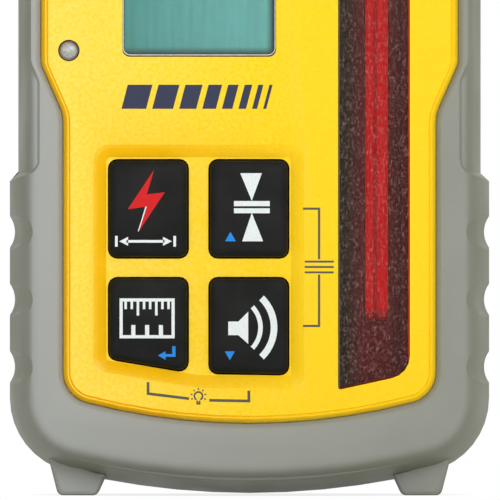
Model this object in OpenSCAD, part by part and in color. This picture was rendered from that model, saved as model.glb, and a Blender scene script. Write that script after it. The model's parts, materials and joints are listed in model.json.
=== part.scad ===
/* [Body] */
// Width over the grips
body_w = 76; // [72:0.5:90]
// Depth from the key tops to the back face
body_d = 36; // [35:0.5:44]
// Height from the feet to the crown
body_h = 168; // [162:1:200]
// How far the waist sits in from the grips on each side
waist_in = 1.35; // [0.8:0.05:1.8]
// Height where the grips end and the waist starts
flare_z = 51; // [48:0.2:54]
// Corner radius of the silhouette
corner_r = 12; // [10:0.5:14]
// Height of the corner centres above the feet
corner_z = 15.4; // [14:0.2:18]
// Gap between the bottom bulge and the floor
bulge_z = 0.3; // [0.2:0.1:0.8]
// Width of the rounding from the front face to the side
edge_in = 4.9; // [4.4:0.1:5.2]
// Depth of the flat band from the parting line to the rounding
side_flat = 2.2; // [1.5:0.1:3]

/* [Grip] */
// Number of finger scallops on each side
scallop_count = 3; // [2:1:3]
// Height of the lowest scallop
scallop_z = 20.3; // [20:0.1:21]
// Distance between scallops
scallop_pitch = 10.7; // [9:0.1:11]
// Length of one scallop
scallop_len = 4.8; // [4:0.1:6]
// Depth of one scallop
scallop_deep = 0.74; // [0.4:0.02:1]
// Depth of the height mark cut in each side
mark_deep = 0.7; // [0.4:0.1:1]

/* [Feet] */
// Distance of a foot's middle from the grips' outer side
foot_margin = 10.8; // [10:0.1:12]
// Width of a foot on the floor
foot_w = 6.2; // [5.5:0.1:7]
// Width of a foot where it leaves the bumper
foot_root_w = 9.2; // [8:0.1:9.6]
// Length of a foot from front to back
foot_len = 16; // [14:1:24]

/* [Shells] */
// Thickness of the housing walls
wall = 1.8; // [1.5:0.1:2.2]
// Thickness of the bumper beside the waist
bumper_t = 1.8; // [1.5:0.1:2]
// Thickness of the bumper over the front and back shoulders
bumper_lip = 1.4; // [1.1:0.1:1.8]
// How far the face panels stand proud of the bumper
panel_rise = 0.8; // [0.5:0.1:1.2]
// How far the key tops stand proud of the front panel
key_rise = 0.4; // [0.2:0.1:0.8]
// Thickness of the face panels
panel_t = 2.2; // [2:0.1:2.6]
// Width of the bumper beside the front panel at the grips
panel_margin = 8.6; // [8:0.1:9.2]
// How much wider the front panel is at the waist, on each side
panel_step = 3.5; // [2.5:0.1:3.6]
// Height where the front panel starts to widen
panel_kink_z = 60.3; // [58:0.1:62]
// Height over which the front panel widens
panel_kink_h = 7.9; // [6:0.1:9]
// Height of the front panel's lowest point
panel_z = 11.5; // [11:0.1:13]
// Corner radius of the face panels
panel_r = 5; // [4:0.5:6]
// Width of the rounded edge of the face panels
panel_edge = 1.15; // [0.9:0.05:1.4]
// Width of the bumper beside the back panel
back_margin = 12.5; // [12.3:0.1:13.5]
// Clearance between bonded or seated pieces
seat_gap = 0.05; // [0.03:0.01:0.1]

/* [Keys] */
// Distance from the keys to the photocell window
key_to_cell = 8.05; // [7:0.05:9]
// Height of an upper key
key_h = 15.65; // [14:0.05:16]
// Gap between the two key columns
key_gap_x = 3.15; // [3:0.05:4]
// Gap between the two key rows
key_gap_z = 3.1; // [2.8:0.05:4]
// Distance from the front panel's left edge to the keys
key_inset = 7.1; // [6.5:0.1:8]
// Height of the lower keys' bottom edge
key_z = 19.2; // [19:0.1:20]
// Rise of the units key's slanted bottom edge
key_slant = 2.1; // [0:0.1:3]
// Corner radius of the keys
key_r = 1.3; // [1:0.1:2]
// Height of the power key
power_h = 9; // [8:0.5:10]
// Gap between the display and the power key
power_gap = 8.1; // [7.5:0.1:12]
// Travel of a key
key_travel = 0.8; // [0.4:0.1:1]
// Gap round a key in its hole
key_gap = 0.25; // [0.15:0.05:0.4]
// Margin of the sunken field round the keys
field_margin = 1.8; // [1.6:0.1:2]
// Depth of the sunken field
field_deep = 0.8; // [0.4:0.1:1]

/* [Displays] */
// Distance from the displays to the photocell window
lcd_to_cell = 10.4; // [9:0.1:12]
// Height of the front display
lcd_h = 36; // [30:1:38]
// Height of the front display's bottom edge
lcd_z = 69.4; // [69:0.1:71]
// Distance from the front panel's left edge to the display at the keys
lcd_inset = 9.6; // [9:0.1:12]
// Gap between the clamp boss and the back display
back_lcd_gap = 6.35; // [5:0.05:9]
// Gap between the back display and the sounder's ring
sound_gap = 6.6; // [6.4:0.1:9]
// Distance from the sounder's middle to the back panel's top
sound_margin = 11.5; // [11:0.1:14]
// Thickness of the display lenses
lens_t = 1.4; // [1.2:0.1:1.6]
// Width of the ledge that carries a lens
lens_ledge = 1; // [0.6:0.1:1.4]

/* [Photocell] */
// Width of the photocell window
cell_w = 11; // [9:0.1:12]
// Distance from the window to the front panel's right edge
cell_margin = 4.1; // [3.6:0.1:4.6]
// Height of the window's lowest corner
cell_z = 16.9; // [16.6:0.1:18]
// Rise of the window's slanted bottom edge
cell_slant = 2.3; // [1:0.1:3]
// Radius of the window's outer corners
cell_r = 3.6; // [2.5:0.1:4.5]
// Height where the light guides start
guide_z = 27.6; // [26:0.1:30]
// Number of photodiodes behind the guides
diode_count = 14; // [8:1:18]
// Radius of the strobe sensor's lens
strobe_r = 1.5; // [1.2:0.1:1.8]
// Height of the strobe sensor
strobe_z = 70.3; // [69:0.1:72]
// Distance of the strobe sensor from the front panel's edge
strobe_margin = 4.4; // [4:0.1:5]

/* [Batteries] */
// Radius of a battery cell
cell_can_r = 7.15; // [7:0.05:7.25]
// Length of a battery cell with its nub
cell_can_len = 50.4; // [49.5:0.1:50.5]
// Room for the spring under each cell
spring_room = 2; // [1.8:0.1:2.6]
// Height of the battery bay's floor
bay_z = 18.4; // [18.2:0.1:19]
// Thickness of the battery bay's walls
bay_wall = 1.4; // [1.2:0.1:1.8]
// Thickness of the battery door
door_t = 1.7; // [1.5:0.1:1.8]
// Width of the ledge under the battery door
door_ledge = 2.3; // [2.2:0.1:2.6]
// Gap round the battery door
door_gap = 0.25; // [0.2:0.05:0.4]
// Radius of the hinge pin
pin_r = 1; // [0.8:0.05:1.1]
// Running clearance on the hinge pin
pin_gap = 0.05; // [0.03:0.01:0.08]

/* [Clamp mount] */
// Distance from the battery door to the clamp insert's middle
clamp_gap = 8.45; // [8:0.05:10]
// Radius of the insert's tapped hole
thread_r = 2.55; // [2.1:0.05:3.2]
// Length of the threaded insert
insert_len = 9; // [7:0.5:10]
// Radius of the threaded insert
insert_r = 4.5; // [4.2:0.1:5]
// Distance between the two locating holes
locator_pitch = 28; // [26:0.5:32]
// Radius of a locating hole
locator_r = 2; // [1.5:0.1:2.4]
// Depth of a locating hole
locator_deep = 4; // [3:0.5:5]

/* [Hidden] */
$fn = 48;
over = 0.2;
crown_n = 5;
corner_n = 8;

// Levels from front to back
half_d = body_d / 2;
y_panel = -half_d + key_rise;
y_bumper = y_panel + panel_rise;
y_shoulder = y_bumper + bumper_lip;
y_inside = y_panel + panel_t;
y_field = y_panel + field_deep;
y_wall = y_shoulder + wall;
y_back = half_d;
y_back_bumper = y_back - panel_rise;
y_back_shoulder = y_back_bumper - bumper_lip;
y_back_inside = y_back - panel_t;
y_back_wall = y_back_shoulder - wall;

// Widths and heights of the outlines
half_w = body_w / 2;
mid_z = (bulge_z + body_h) / 2;
core_half = half_w - waist_in - bumper_t;
core_low = bulge_z + 2.2;
core_r = corner_r - 2.2;
core_edge = 1.2;
panel_half = half_w - panel_margin;
panel_corner_z = panel_z + 8.1;
back_half = half_w - back_margin;
outer_corner = [half_w - corner_r, corner_z, corner_r];
core_corner = [core_half - core_r, corner_z, core_r];
panel_corner = [panel_half - panel_r, panel_corner_z, panel_r];
back_corner = [back_half - panel_r, panel_corner_z, panel_r];

function last(list) = list[len(list) - 1];
function tail(list) = [for (i = [1:len(list) - 1]) list[i]];
function sorted(list) = len(list) < 2 ? list : let (p = list[floor(len(list) / 2)])
    concat(sorted([for (v = list) if (v < p) v]), [for (v = list) if (v == p) v], sorted([for (v = list) if (v > p) v]));
function upside(z) = 2 * mid_z - z;
function mix(a, b, t) = a + (b - a) * t;
function clamp01(t) = max(0, min(1, t));

// A straight ramp from 0 to 1 whose two ends are rounded
function ramp(t, low, high) =
    t <= -low ? 0
  : t < low ? pow(t + low, 2) / (4 * low)
  : t <= 1 - high ? t
  : t < 1 + high ? 1 - pow(1 + high - t, 2) / (4 * high)
  : 1;
function ramp_marks(low, high) = [-low, -0.3 * low, 0.3 * low, low, 0.5, 1 - high, 1, 1 + high];

function arc(c, r, a0, a1, n) =
    [for (i = [0:n]) let (a = mix(a0, a1, i / n)) [c.x + r * cos(a), c.y + r * sin(a)]];

// Radius of the shallow crown that runs tangent into a corner circle
function crown_r(x, up, r) = (x * x + up * up - r * r) / (2 * (up - r));

// Lower right quarter of an outline: half a crown, then its corner, moved in by d
function quarter(low, corner, d) =
    let (up = corner.y - low)
    let (r = crown_r(corner.x, up, corner.z))
    let (a = atan2(corner.x, low + r - corner.y))
    concat(arc([0, low + r], r - d, -90, a - 90, crown_n),
           tail(arc([corner.x, corner.y], corner.z - d, a - 90, 0, corner_n)));

// A closed outline from its lower quarter and its right side, alike at top and bottom and left and right
function closed(low_quarter, side) =
    let (n = len(low_quarter))
    let (top = [for (i = [n - 1:-1:0]) [low_quarter[i].x, upside(low_quarter[i].y)]])
    let (right = concat(low_quarter, side, top))
    concat(right, [for (i = [len(right) - 2:-1:1]) [-right[i].x, right[i].y]]);

// Front panel's half width at a height, with a soft lower bend and a crisp upper one
kink_soft = 0.18;
kink_crisp = 0.07;
function panel_side(z) =
    let (low = min(z, upside(z)))
    panel_half + panel_step * ramp((low - panel_kink_z) / panel_kink_h, kink_soft, kink_crisp);

panel_marks = [for (t = ramp_marks(kink_soft, kink_crisp)) panel_kink_z + t * panel_kink_h];
panel_stations = concat(panel_marks, [for (i = [len(panel_marks) - 1:-1:0]) upside(panel_marks[i])]);

function panel_outline(d) =
    closed(quarter(panel_z, panel_corner, d), [for (z = panel_stations) [panel_side(z) - d, z]]);
function back_outline(d) = closed(quarter(panel_z, back_corner, d), []);
function core_outline(d) = closed(quarter(core_low, core_corner, d), []);

// A convex outline with its own radius at each corner, moved in by d
function rounded(points, radii, d = 0, n = 4) =
    let (m = len(points))
    [for (i = [0:m - 1])
        let (v = points[i])
        let (before = v - points[(i + m - 1) % m], after = points[(i + 1) % m] - v)
        let (n1 = [-before.y, before.x] / norm(before), n2 = [-after.y, after.x] / norm(after))
        let (r = max(radii[i] - d, 0.02))
        let (c = v + (r + d) * (n1 + n2) / (1 + n1 * n2))
        let (a1 = atan2(-n1.y, -n1.x), a2 = atan2(-n2.y, -n2.x))
        let (turn = a2 < a1 ? a2 + 360 - a1 : a2 - a1)
        each arc(c, r, a1, a1 + turn, n)];

function box_points(x0, x1, z0, z1) = [[x0, z0], [x1, z0], [x1, z1], [x0, z1]];

// A plate with an outline in X and Z, from y0 to y1
module slab(points, y0, y1) {
    translate([0, y1, 0]) rotate([90, 0, 0]) linear_extrude(y1 - y0) polygon(points);
}

// A round rod along Y
module rod(x, z, r, y0, y1) {
    translate([x, y1, z]) rotate([90, 0, 0]) cylinder(r = r, h = y1 - y0);
}

module block(x0, x1, y0, y1, z0, z1) {
    translate([x0, y0, z0]) cube([x1 - x0, y1 - y0, z1 - z0]);
}

// A solid skinned over rings of the same symmetric outline, closed flat at both ends
module skin(rings) {
    n = len(rings[0]);
    half = n / 2;
    end = (len(rings) - 1) * n;
    walls = [for (k = [0:len(rings) - 2], i = [0:n - 1])
        let (a = k * n + i, b = k * n + (i + 1) % n)
        each [[a, b + n, b], [a, a + n, b + n]]];
    rungs = [for (i = [0:half - 1]) each [[i, i + 1, n - i - 1], if (i > 0) [i, n - i - 1, n - i]]];
    cap = [for (f = rungs) if (f[0] != f[1] && f[1] != f[2] && f[0] != f[2]) f];
    caps = [for (f = cap) each [f, [end + f[0], end + f[2], end + f[1]]]];
    polyhedron([for (r = rings) each r], concat(walls, caps));
}

// A frame skinned over rings that go round its section and come back to the first
module frame(rings) {
    n = len(rings[0]);
    m = len(rings);
    faces = [for (k = [0:m - 1], i = [0:n - 1])
        let (j = (i + 1) % n, a = k * n, b = ((k + 1) % m) * n)
        each [[a + i, b + j, a + j], [a + i, b + i, b + j]]];
    polyhedron([for (r = rings) each r], faces);
}

function at_depth(points, y) = [for (p = points) [p.x, y, p.y]];

// Bumper

// Half the gap between the two bumpers
part_gap = 0.05;

// Outside of the bumper at the grips, from the side to the front: shares of its width and of its depth
grip_shape = [[0, 1], [0.18, 0.62], [0.38, 0.3], [0.48, 0.18], [0.57, 0.107], [0.65, 0.06], [0.74, 0.027],
    [0.84, 0.009], [0.93, 0.002]];
// The same at the waist, where it ends at the foot of the crease
waist_shape = [[0, 1], [0.16, 0.66], [0.34, 0.36], [0.45, 0.23], [0.56, 0.145], [0.68, 0.085], [0.77, 0.057],
    [0.88, 0.04], [1, 0.034]];
// Inner lip beside a face panel: distance from the panel and depth
lip_shape = [[0.95, 0], [0.8, 0.06], [0.14, 0.58], [seat_gap, 0.7]];

// Heights along the right side where every ring has a point
outer_span = upside(corner_z) - corner_z;
panel_span = upside(panel_corner_z) - panel_corner_z;
function to_panel(z) = panel_corner_z + (z - corner_z) * panel_span / outer_span;
function to_outer(z) = corner_z + (z - panel_corner_z) * outer_span / panel_span;
kink_stations = [for (z = panel_marks) to_outer(z)];
mark_half = 1.1;
mark_stations = [mid_z - mark_half, mid_z, mid_z + mark_half];
turn_stations = [flare_z + 1.5, flare_z + 2.4];
swing_h = 3.1;
swing_soft = 0.1;
swing_z = panel_kink_z + panel_kink_h - swing_h + 0.3;
swing_stations = [for (t = [-swing_soft, swing_soft, 1 - swing_soft, 1 + swing_soft]) swing_z + t * swing_h];
side_stations = sorted(concat(kink_stations, swing_stations));
low_stations = concat(turn_stations, side_stations);
stations = concat(low_stations, mark_stations, [for (i = [len(low_stations) - 1:-1:0]) upside(low_stations[i])]);

// Height mark: a notch in each side that fades towards the front
mark_fade = [1, 1, 1, 1, 0.9, 0.7, 0.4, 0.15, 0];
function mark(z) = mark_deep * max(0, 1 - abs(z - mid_z) / mark_half);

// Crease round the flat front face: upright beside the waist, it swings out where the panel widens
crease_w = 0.4;
crease_out = 1.35;
function crease(z) =
    edge_in - crease_out * ramp((min(z, upside(z)) - swing_z) / swing_h, swing_soft, swing_soft);
waist_w = edge_in - waist_in - crease_w;

// Upper end of a grip: the crease turns outwards on a round and runs out as a sloping shoulder
turn_r = 2.6;
turn_x = half_w - edge_in + turn_r + 0.05;
shoulder_fall = 0.38;
function turn_z(x, r) = flare_z + 2.4 - sqrt(r * r - pow(max(0, min(turn_x - x, r)), 2));
function shoulder_top(x) = turn_z(x, turn_r - crease_w / 2);
function shoulder_foot(x) = turn_z(x, turn_r + crease_w / 2) - shoulder_fall * max(0, x - turn_x);

// A point of the waist: right of the middle, height, depth behind the face
function waist_point(k, z, run) =
    let (share = waist_shape[k].x * (crease(z) - waist_in - crease_w) / waist_w)
    [half_w - waist_in - waist_w * share - mark_fade[k] * mark(z), z, run * lookup(share, waist_shape)];

// One ring of the bumper's outside, numbered from the side to the front
function edge_ring(k, face) =
    let (run = -face - side_flat, d = edge_in * grip_shape[k].x, h = run * grip_shape[k].y)
    let (low = [for (q = quarter(bulge_z, outer_corner, d)) [q.x, q.y, h]])
    let (waist = waist_point(k, flare_z, run))
    let (grip_end = [half_w - d, shoulder_foot(half_w - d), h], waist_end = [waist.x, shoulder_top(waist.x), waist.z])
    let (right = concat(low, [grip_end, waist_end], [for (z = side_stations) waist_point(k, z, run)]))
    let (n = len(right))
    let (high = [for (i = [n - 1:-1:0]) [right[i].x, upside(right[i].y), right[i].z]])
    let (half = concat(right, [for (z = mark_stations) waist_point(k, z, run)], high))
    let (ring = concat(half, [for (i = [len(half) - 2:-1:1]) [-half[i].x, half[i].y, half[i].z]]))
    [for (q = ring) [q.x, face + q.z, q.y]];

// The ring where the flat face starts
function crease_ring(face) =
    at_depth(closed(quarter(bulge_z, outer_corner, edge_in), [for (z = stations) [half_w - crease(z), z]]), face);

// A ring at a distance from a panel whose half width is a function of the height
function lip_ring(corner, half_width, gap, y) =
    at_depth(closed(quarter(panel_z, corner, -gap),
        [for (z = stations) let (q = to_panel(z)) [half_width(q) + gap, q]]), y);

function core_ring(d, y) =
    at_depth(closed(quarter(core_low, core_corner, d), [for (z = stations) [core_half - d, z]]), y);

// Front half of a bumper round a panel
module bumper_half(corner, half_width, face, shoulder) {
    edges = [for (k = [0:len(grip_shape) - 1]) edge_ring(k, face)];
    lips = [for (f = lip_shape) lip_ring(corner, half_width, f.x, face + f.y)];
    corner_gap = (sqrt(2) - 1) * seat_gap;
    difference() {
        frame(concat([[for (p = edges[0]) [p.x, -part_gap, p.z]]], edges, [crease_ring(face)], lips,
            [lip_ring(corner, half_width, seat_gap, shoulder - seat_gap),
             core_ring(core_edge - corner_gap, shoulder - seat_gap),
             core_ring(-seat_gap, shoulder + core_edge - corner_gap), core_ring(-seat_gap, -part_gap)]));
        for (s = [0, 1], z = scallops) mirror([s, 0, 0]) scallop(z, shoulder + core_edge);
    }
}

// Finger scallops: round cuts that lean in towards the front and run out at the flat face
scallops = [for (i = [0:scallop_count - 1]) scallop_z + i * scallop_pitch];
scallop_r = (pow(scallop_len / 2, 2) + pow(scallop_deep, 2)) / (2 * scallop_deep);
scallop_wall = 0.55;
scallop_lean = 21;
module scallop(z, bend_y) {
    side = half_w - scallop_deep;
    bend = core_half + scallop_wall;
    translate([side + scallop_r, 0, z]) rotate([90, 0, -atan2(side - bend, -bend_y)])
        translate([0, 0, -2]) cylinder(r = scallop_r, h = half_d);
    translate([bend + scallop_r, bend_y, z]) rotate([90, 0, -scallop_lean])
        translate([0, 0, -1]) cylinder(r = scallop_r, h = 6);
}

// Height of the silhouette's lower edge at a distance from the middle
crown = crown_r(outer_corner.x, corner_z - bulge_z, corner_r);
crown_end = crown * sin(atan2(outer_corner.x, bulge_z + crown - corner_z));
function low_edge(x) = x < crown_end
    ? bulge_z + crown - sqrt(crown * crown - x * x)
    : corner_z - sqrt(corner_r * corner_r - pow(x - outer_corner.x, 2));
foot_x = half_w - foot_margin;
foot_in = foot_x - foot_root_w / 2;
foot_out = foot_x + foot_root_w / 2;
foot_bite = 0.9;
foot_points = [[foot_in, low_edge(foot_in) + foot_bite], [foot_x - foot_w / 2, 0],
    [foot_x + foot_w / 2, 0], [foot_out, low_edge(foot_out) + foot_bite]];
foot_radii = [0.02, 1, 1, 0.02];
foot_front = -foot_len / 2;
function foot_outline(d) = rounded([[foot_points[0].x + 2 * d, foot_points[0].y], [foot_points[1].x + 2 * d, d],
    [foot_points[2].x - d, d], [foot_points[3].x - d, foot_points[3].y]], foot_radii);

// Housing screws
screw_r = 1.25;
screw_head_r = 2.4;
screw_head_h = 2.2;
well_gap = 0.2;
boss_r = 3.2;
boss_x = core_half - wall - 2.65;
boss_low = 24;
boss_over_lcd = 14.75;
boss_mid = lcd_z + boss_over_lcd;
boss_spots = [for (s = [-1, 1], z = [boss_low, boss_mid, upside(boss_low)]) [s * boss_x, z]];
y_boss = max(y_inside, y_shoulder) + 0.3;
y_screw_seat = y_back_shoulder - 2.4;
y_screw_tip = -8;

// Keys
key_w = (2 * panel_half - key_inset - key_gap_x - key_to_cell - cell_w - cell_margin) / 2;
key_x0 = -panel_half + key_inset;
key_x1 = key_x0 + key_w;
key_x2 = key_x1 + key_gap_x;
key_x3 = key_x2 + key_w;
row_trim = 0.45;
units_lift = 0.4;
volume_lift = 0.2;
low_key_top = key_z + key_h - row_trim;
power_z = lcd_z + lcd_h + power_gap;
top_key_z = low_key_top + key_gap_z;
capture_points = box_points(key_x0, key_x1, top_key_z, top_key_z + key_h);
deadband_points = box_points(key_x2, key_x3, top_key_z, top_key_z + key_h);
units_z = key_z + units_lift;
units_points = [[key_x0, units_z + key_slant], [key_x1, units_z], [key_x1, low_key_top], [key_x0, low_key_top]];
volume_points = [[key_x2, key_z + volume_lift], [key_x3, key_z], [key_x3, low_key_top], [key_x2, low_key_top]];
power_points = box_points(key_x0, key_x1, power_z, power_z + power_h);
all_keys = [capture_points, deadband_points, units_points, volume_points, power_points];
key_radii = [key_r, key_r, key_r, key_r];
field_points = [[key_x0 - field_margin, units_z + key_slant + units_lift - field_margin],
    [(key_x1 + key_x2) / 2, key_z + volume_lift - field_margin], [key_x3 + field_margin, key_z - field_margin],
    [key_x3 + field_margin, top_key_z + key_h + field_margin],
    [key_x0 - field_margin, top_key_z + key_h + field_margin]];
field_radii = [2, 6, 2, 2, 2];
power_field = box_points(key_x0 - field_margin, key_x1 + field_margin,
    power_z - field_margin, power_z + power_h + field_margin);
field_slope = 1.3;
field_shape = [[field_slope, field_deep], [0.15, 0.3], [-0.05, 0.16], [-0.3, 0.05], [-0.65, -over]];
flange_out = 1;
flange_t = 0.8;
mat_gap = 0.3;
y_key = -half_d;
y_flange = y_inside + seat_gap;
y_flange_back = y_flange + flange_t;
y_board = y_inside + 3.7;
board_t = 1.6;
y_board_back = y_board + board_t;
dome_h = 0.4;
plunger_r = 2;
y_plunger = y_board - dome_h - key_travel - 0.15;
function centre(p) = [(p[0].x + p[1].x) / 2, (p[0].y + p[2].y) / 2];

// Displays
lcd_x0 = -panel_half + lcd_inset;
lcd_w = 2 * panel_half - lcd_inset - lcd_to_cell - cell_w - cell_margin;
lcd_points = box_points(lcd_x0, lcd_x0 + lcd_w, lcd_z, lcd_z + lcd_h);
lcd_radii = [1.2, 1.2, 1.2, 1.2];
lens_sink = 0.2;
lcd_grow = 0.6;
lcd_t = 2.1;
light_t = 1.3;

// Photocell
cell_x1 = panel_half - cell_margin;
cell_x0 = cell_x1 - cell_w;
window_points = [[cell_x0, cell_z], [cell_x1, cell_z + cell_slant],
    [cell_x1, upside(cell_z + cell_slant)], [cell_x0, upside(cell_z)]];
window_radii = [0.4, cell_r, cell_r, 0.4];
window_t = 1.2;
window_sink = 0.15;
guide_x0 = cell_x0 + 3.95;
guide_w = [1.42, 1.92];
guide_gap = 0.31;
guide_x1 = guide_x0 + guide_w[0] + guide_gap;
guide_end = guide_x1 + guide_w[1];
y_tray = y_inside + 1.6;
y_tray_back = y_tray + 0.8;
y_guide = y_inside + 0.8;
slot_gap = 0.15;
diode_h = 0.45;
strobe_x = panel_half + panel_step - strobe_margin;
strobe_sink = 0.75;
diode_pitch = (upside(guide_z) - guide_z) / diode_count;

// Boards
board_x0 = -boss_x + boss_r + 0.6;
board_x1 = cell_x0 - 1.5;
board_z0 = 20;
board_z1 = upside(panel_z) - 3;
post_r = 2;
post_x = [board_x0 + 2.4, board_x1 - 3.6];
post_low = (top_key_z + key_h + field_margin + lcd_z) / 2;
post_high = lcd_z + lcd_h + 3.6;
front_posts = [for (x = post_x, z = [post_low, post_high]) [x, z]];
post_screw_r = 0.85;

// Battery bay and door
y_ledge = y_back - door_t - 0.5;
y_can = y_ledge - 0.3 - cell_can_r;
can_x = cell_can_r + 0.25;
bay_half = can_x + cell_can_r + 0.6;
y_bay = y_can - cell_can_r - 0.3;
plate_t = 0.4;
plate_room = 0.5;
bay_top = bay_z + 2 * plate_room + spring_room + cell_can_len;
door_low = bay_z - 1.2;
door_top = bay_top + 3.9;
door_half = bay_half + door_ledge;
hinge_z = bay_z - 3;
y_hinge = y_back - 1.8;
barrel_r = 1.7;
barrel_half = 10.8;
pin_half = 13;
tongue_half = 4;
y_tongue = y_ledge - 0.9;
door_points = box_points(-door_half, door_half, door_low, door_top);
door_radii = [1.5, 1.5, 1.5, 1.5];
seal_w = 1.3;
seal_t = 0.45;
seal_points = box_points(-bay_half - 0.35 - seal_w, bay_half + 0.35 + seal_w, door_low + 0.4, bay_top + 0.3 + seal_w);
seal_radii = [1.2, 1.2, 1.2, 1.2];
nub_r = 2.75;
nub_h = 1.3;
wire_r = 0.35;

// Clamp insert, sounder and back display, one above the other over the door
clamp_z = door_top + clamp_gap;
insert_wall = 2;
buzzer_r = 7;
buzzer_h = 4.5;
buzzer_wall = 1.4;
membrane_t = 0.35;
sound_z = upside(panel_z) - sound_margin;
back_lcd_z = clamp_z + insert_r + insert_wall + back_lcd_gap;
back_lcd_h = sound_z - buzzer_r - buzzer_wall - sound_gap - back_lcd_z;
back_board_out = 3.5;
back_lcd_points = box_points(-lcd_w / 2, lcd_w / 2, back_lcd_z, back_lcd_z + back_lcd_h);
y_back_lcd = y_back_inside - seat_gap - lcd_t;
y_back_board = y_back_lcd - seat_gap - 1.2;
back_board_half = lcd_w / 2 + 7;
back_board_points = box_points(-back_board_half, back_board_half, back_lcd_z - back_board_out, back_lcd_z + back_lcd_h + back_board_out);
back_posts = [for (s = [-1, 1], z = [back_lcd_z - 1.5, back_lcd_z + back_lcd_h + 1.5])
    [s * (back_board_half - 2.4), z]];

// Panels, with a rounded outer edge
// Rim of a face panel: share of its width, and depth: a leaning wall, a soft bead and a fine groove
rim_shape = [[0, 1.25], [0.16, 0.74], [0.32, 0.42], [0.48, 0.17], [0.62, 0.05], [0.74, 0.06], [0.85, 0.2], [1, 0]];
module panel_plate(outline, y_root, y_face) {
    skin(concat([at_depth(outline(0), y_root)],
        [for (f = rim_shape) at_depth(outline(panel_edge * f.x), y_face + f.y)]));
}

// A shallow field with a sloping wall and a rounded brim
module sunken(points, radii) {
    skin([for (f = field_shape) at_depth(rounded(points, radii, f.x), y_panel + f.y)]);
}

// Opening for a pane that sits on a ledge just under the front face
module pane_opening(points, radii, sink, t, ledge) {
    slab(rounded(points, radii), y_panel - over, y_panel + sink + t);
    slab(rounded(points, radii, ledge), y_panel, y_inside + over);
}

// A shell's block up to its shoulder, with a broken edge under the bumper
module core_block(shoulder) {
    skin([at_depth(core_outline(0), 0), at_depth(core_outline(0), shoulder + core_edge),
        at_depth(core_outline(core_edge), shoulder)]);
}

module front_housing() color("gold") difference() {
    union() {
        difference() {
            union() {
                core_block(y_shoulder);
                panel_plate(function(d) panel_outline(d), y_shoulder + over, y_panel);
            }
            slab(core_outline(wall), y_wall, over);
            slab(panel_outline(2), y_inside, y_wall + over);
        }
        for (p = boss_spots) rod(p.x, p.y, boss_r, y_boss, 0);
        for (p = front_posts) rod(p.x, p.y, post_r, y_inside - over, y_board - seat_gap);
    }
    sunken(field_points, field_radii);
    sunken(power_field, [2, 2, 2, 2]);
    for (p = all_keys) slab(rounded(p, key_radii, -key_gap), y_panel - over, y_inside + over);
    pane_opening(lcd_points, lcd_radii, lens_sink, lens_t, lens_ledge);
    pane_opening(window_points, window_radii, window_sink, window_t, 0.8);
    rod(-strobe_x, strobe_z, strobe_r + 0.2, y_panel - over, y_inside + over);
    for (p = boss_spots) rod(p.x, p.y, screw_r + seat_gap, y_screw_tip - 1, over);
    for (p = front_posts) rod(p.x, p.y, post_screw_r + seat_gap, y_inside + 0.3, y_board);
}

module rear_housing() color("gold") difference() {
    union() {
        difference() {
            mirror([0, 1, 0]) union() {
                core_block(-y_back_shoulder);
                panel_plate(function(d) back_outline(d), -y_back_shoulder + over, -y_back);
            }
            slab(core_outline(wall), -over, y_back_wall);
            block(-back_half + 2, back_half - 2, y_back_wall - over, y_back_inside,
                back_lcd_z - 6, sound_z + buzzer_r + 2);
        }
        block(-bay_half - bay_wall, bay_half + bay_wall, y_bay - bay_wall, y_back_wall + over,
            bay_z - bay_wall, bay_top + bay_wall);
        block(-pin_half - 1.5, pin_half + 1.5, y_hinge - barrel_r - 0.3 - bay_wall, y_back_wall + over,
            hinge_z - 3.4, bay_z);
        for (p = boss_spots) rod(p.x, p.y, boss_r, 0, y_back_wall + over);
        for (p = back_posts) rod(p.x, p.y, 1.8, y_back_lcd, y_back_inside + over);
        rod(0, clamp_z, insert_r + insert_wall, y_back - insert_len - insert_wall, y_back_wall + over);
        for (s = [-1, 1])
            rod(s * locator_pitch / 2, clamp_z, locator_r + 1.5, y_back - locator_deep - 1.2, y_back_wall + over);
        rod(0, sound_z, buzzer_r + buzzer_wall, y_back_inside - buzzer_h - membrane_t - 0.6, y_back_inside + over);
    }
    difference() {
        slab(core_outline(0.5), -over, 0.8);
        slab(core_outline(1.3), -2 * over, 1);
    }
    for (p = boss_spots) {
        rod(p.x, p.y, screw_r + 0.35, -over, y_screw_seat + over);
        rod(p.x, p.y, screw_head_r + well_gap, y_screw_seat, y_back + over);
    }
    block(-bay_half, bay_half, y_bay, y_back + over, bay_z, bay_top);
    slab(rounded(door_points, door_radii), y_ledge, y_back + over);
    block(-barrel_half - 0.25, barrel_half + 0.25, y_hinge - barrel_r - 0.3, y_back + over,
        hinge_z - 2.3, door_low + over);
    translate([-pin_half - 0.1, y_hinge, hinge_z]) rotate([0, 90, 0])
        cylinder(r = pin_r + 0.02, h = 2 * pin_half + 0.2);
    block(-tongue_half - 0.3, tongue_half + 0.3, y_tongue - 0.2, y_ledge + over, door_top - 1.9, door_top);
    block(-tongue_half, tongue_half, y_back - 1.6, y_back + over, door_top - over, door_top + 1.8);
    rod(0, clamp_z, insert_r + 0.02, y_back - insert_len, y_back + over);
    for (s = [-1, 1]) rod(s * locator_pitch / 2, clamp_z, locator_r, y_back - locator_deep, y_back + over);
    slab(rounded(back_lcd_points, lcd_radii), y_back - lens_sink - lens_t, y_back + over);
    slab(rounded(back_lcd_points, lcd_radii, lens_ledge), y_back_inside - over, y_back);
    for (p = back_posts) rod(p.x, p.y, post_screw_r + seat_gap, y_back_lcd - over, y_back_inside + 0.2);
    rod(0, sound_z, buzzer_r + 0.1, y_back_inside - buzzer_h - membrane_t - 1, y_back_inside);
    for (k = [-1:1])
        slab(rounded(box_points(-4, 4, sound_z + k * 3.2 - 0.6, sound_z + k * 3.2 + 0.6), [0.5, 0.5, 0.5, 0.5]),
            y_back_inside - over, y_back + over);
}

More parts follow.
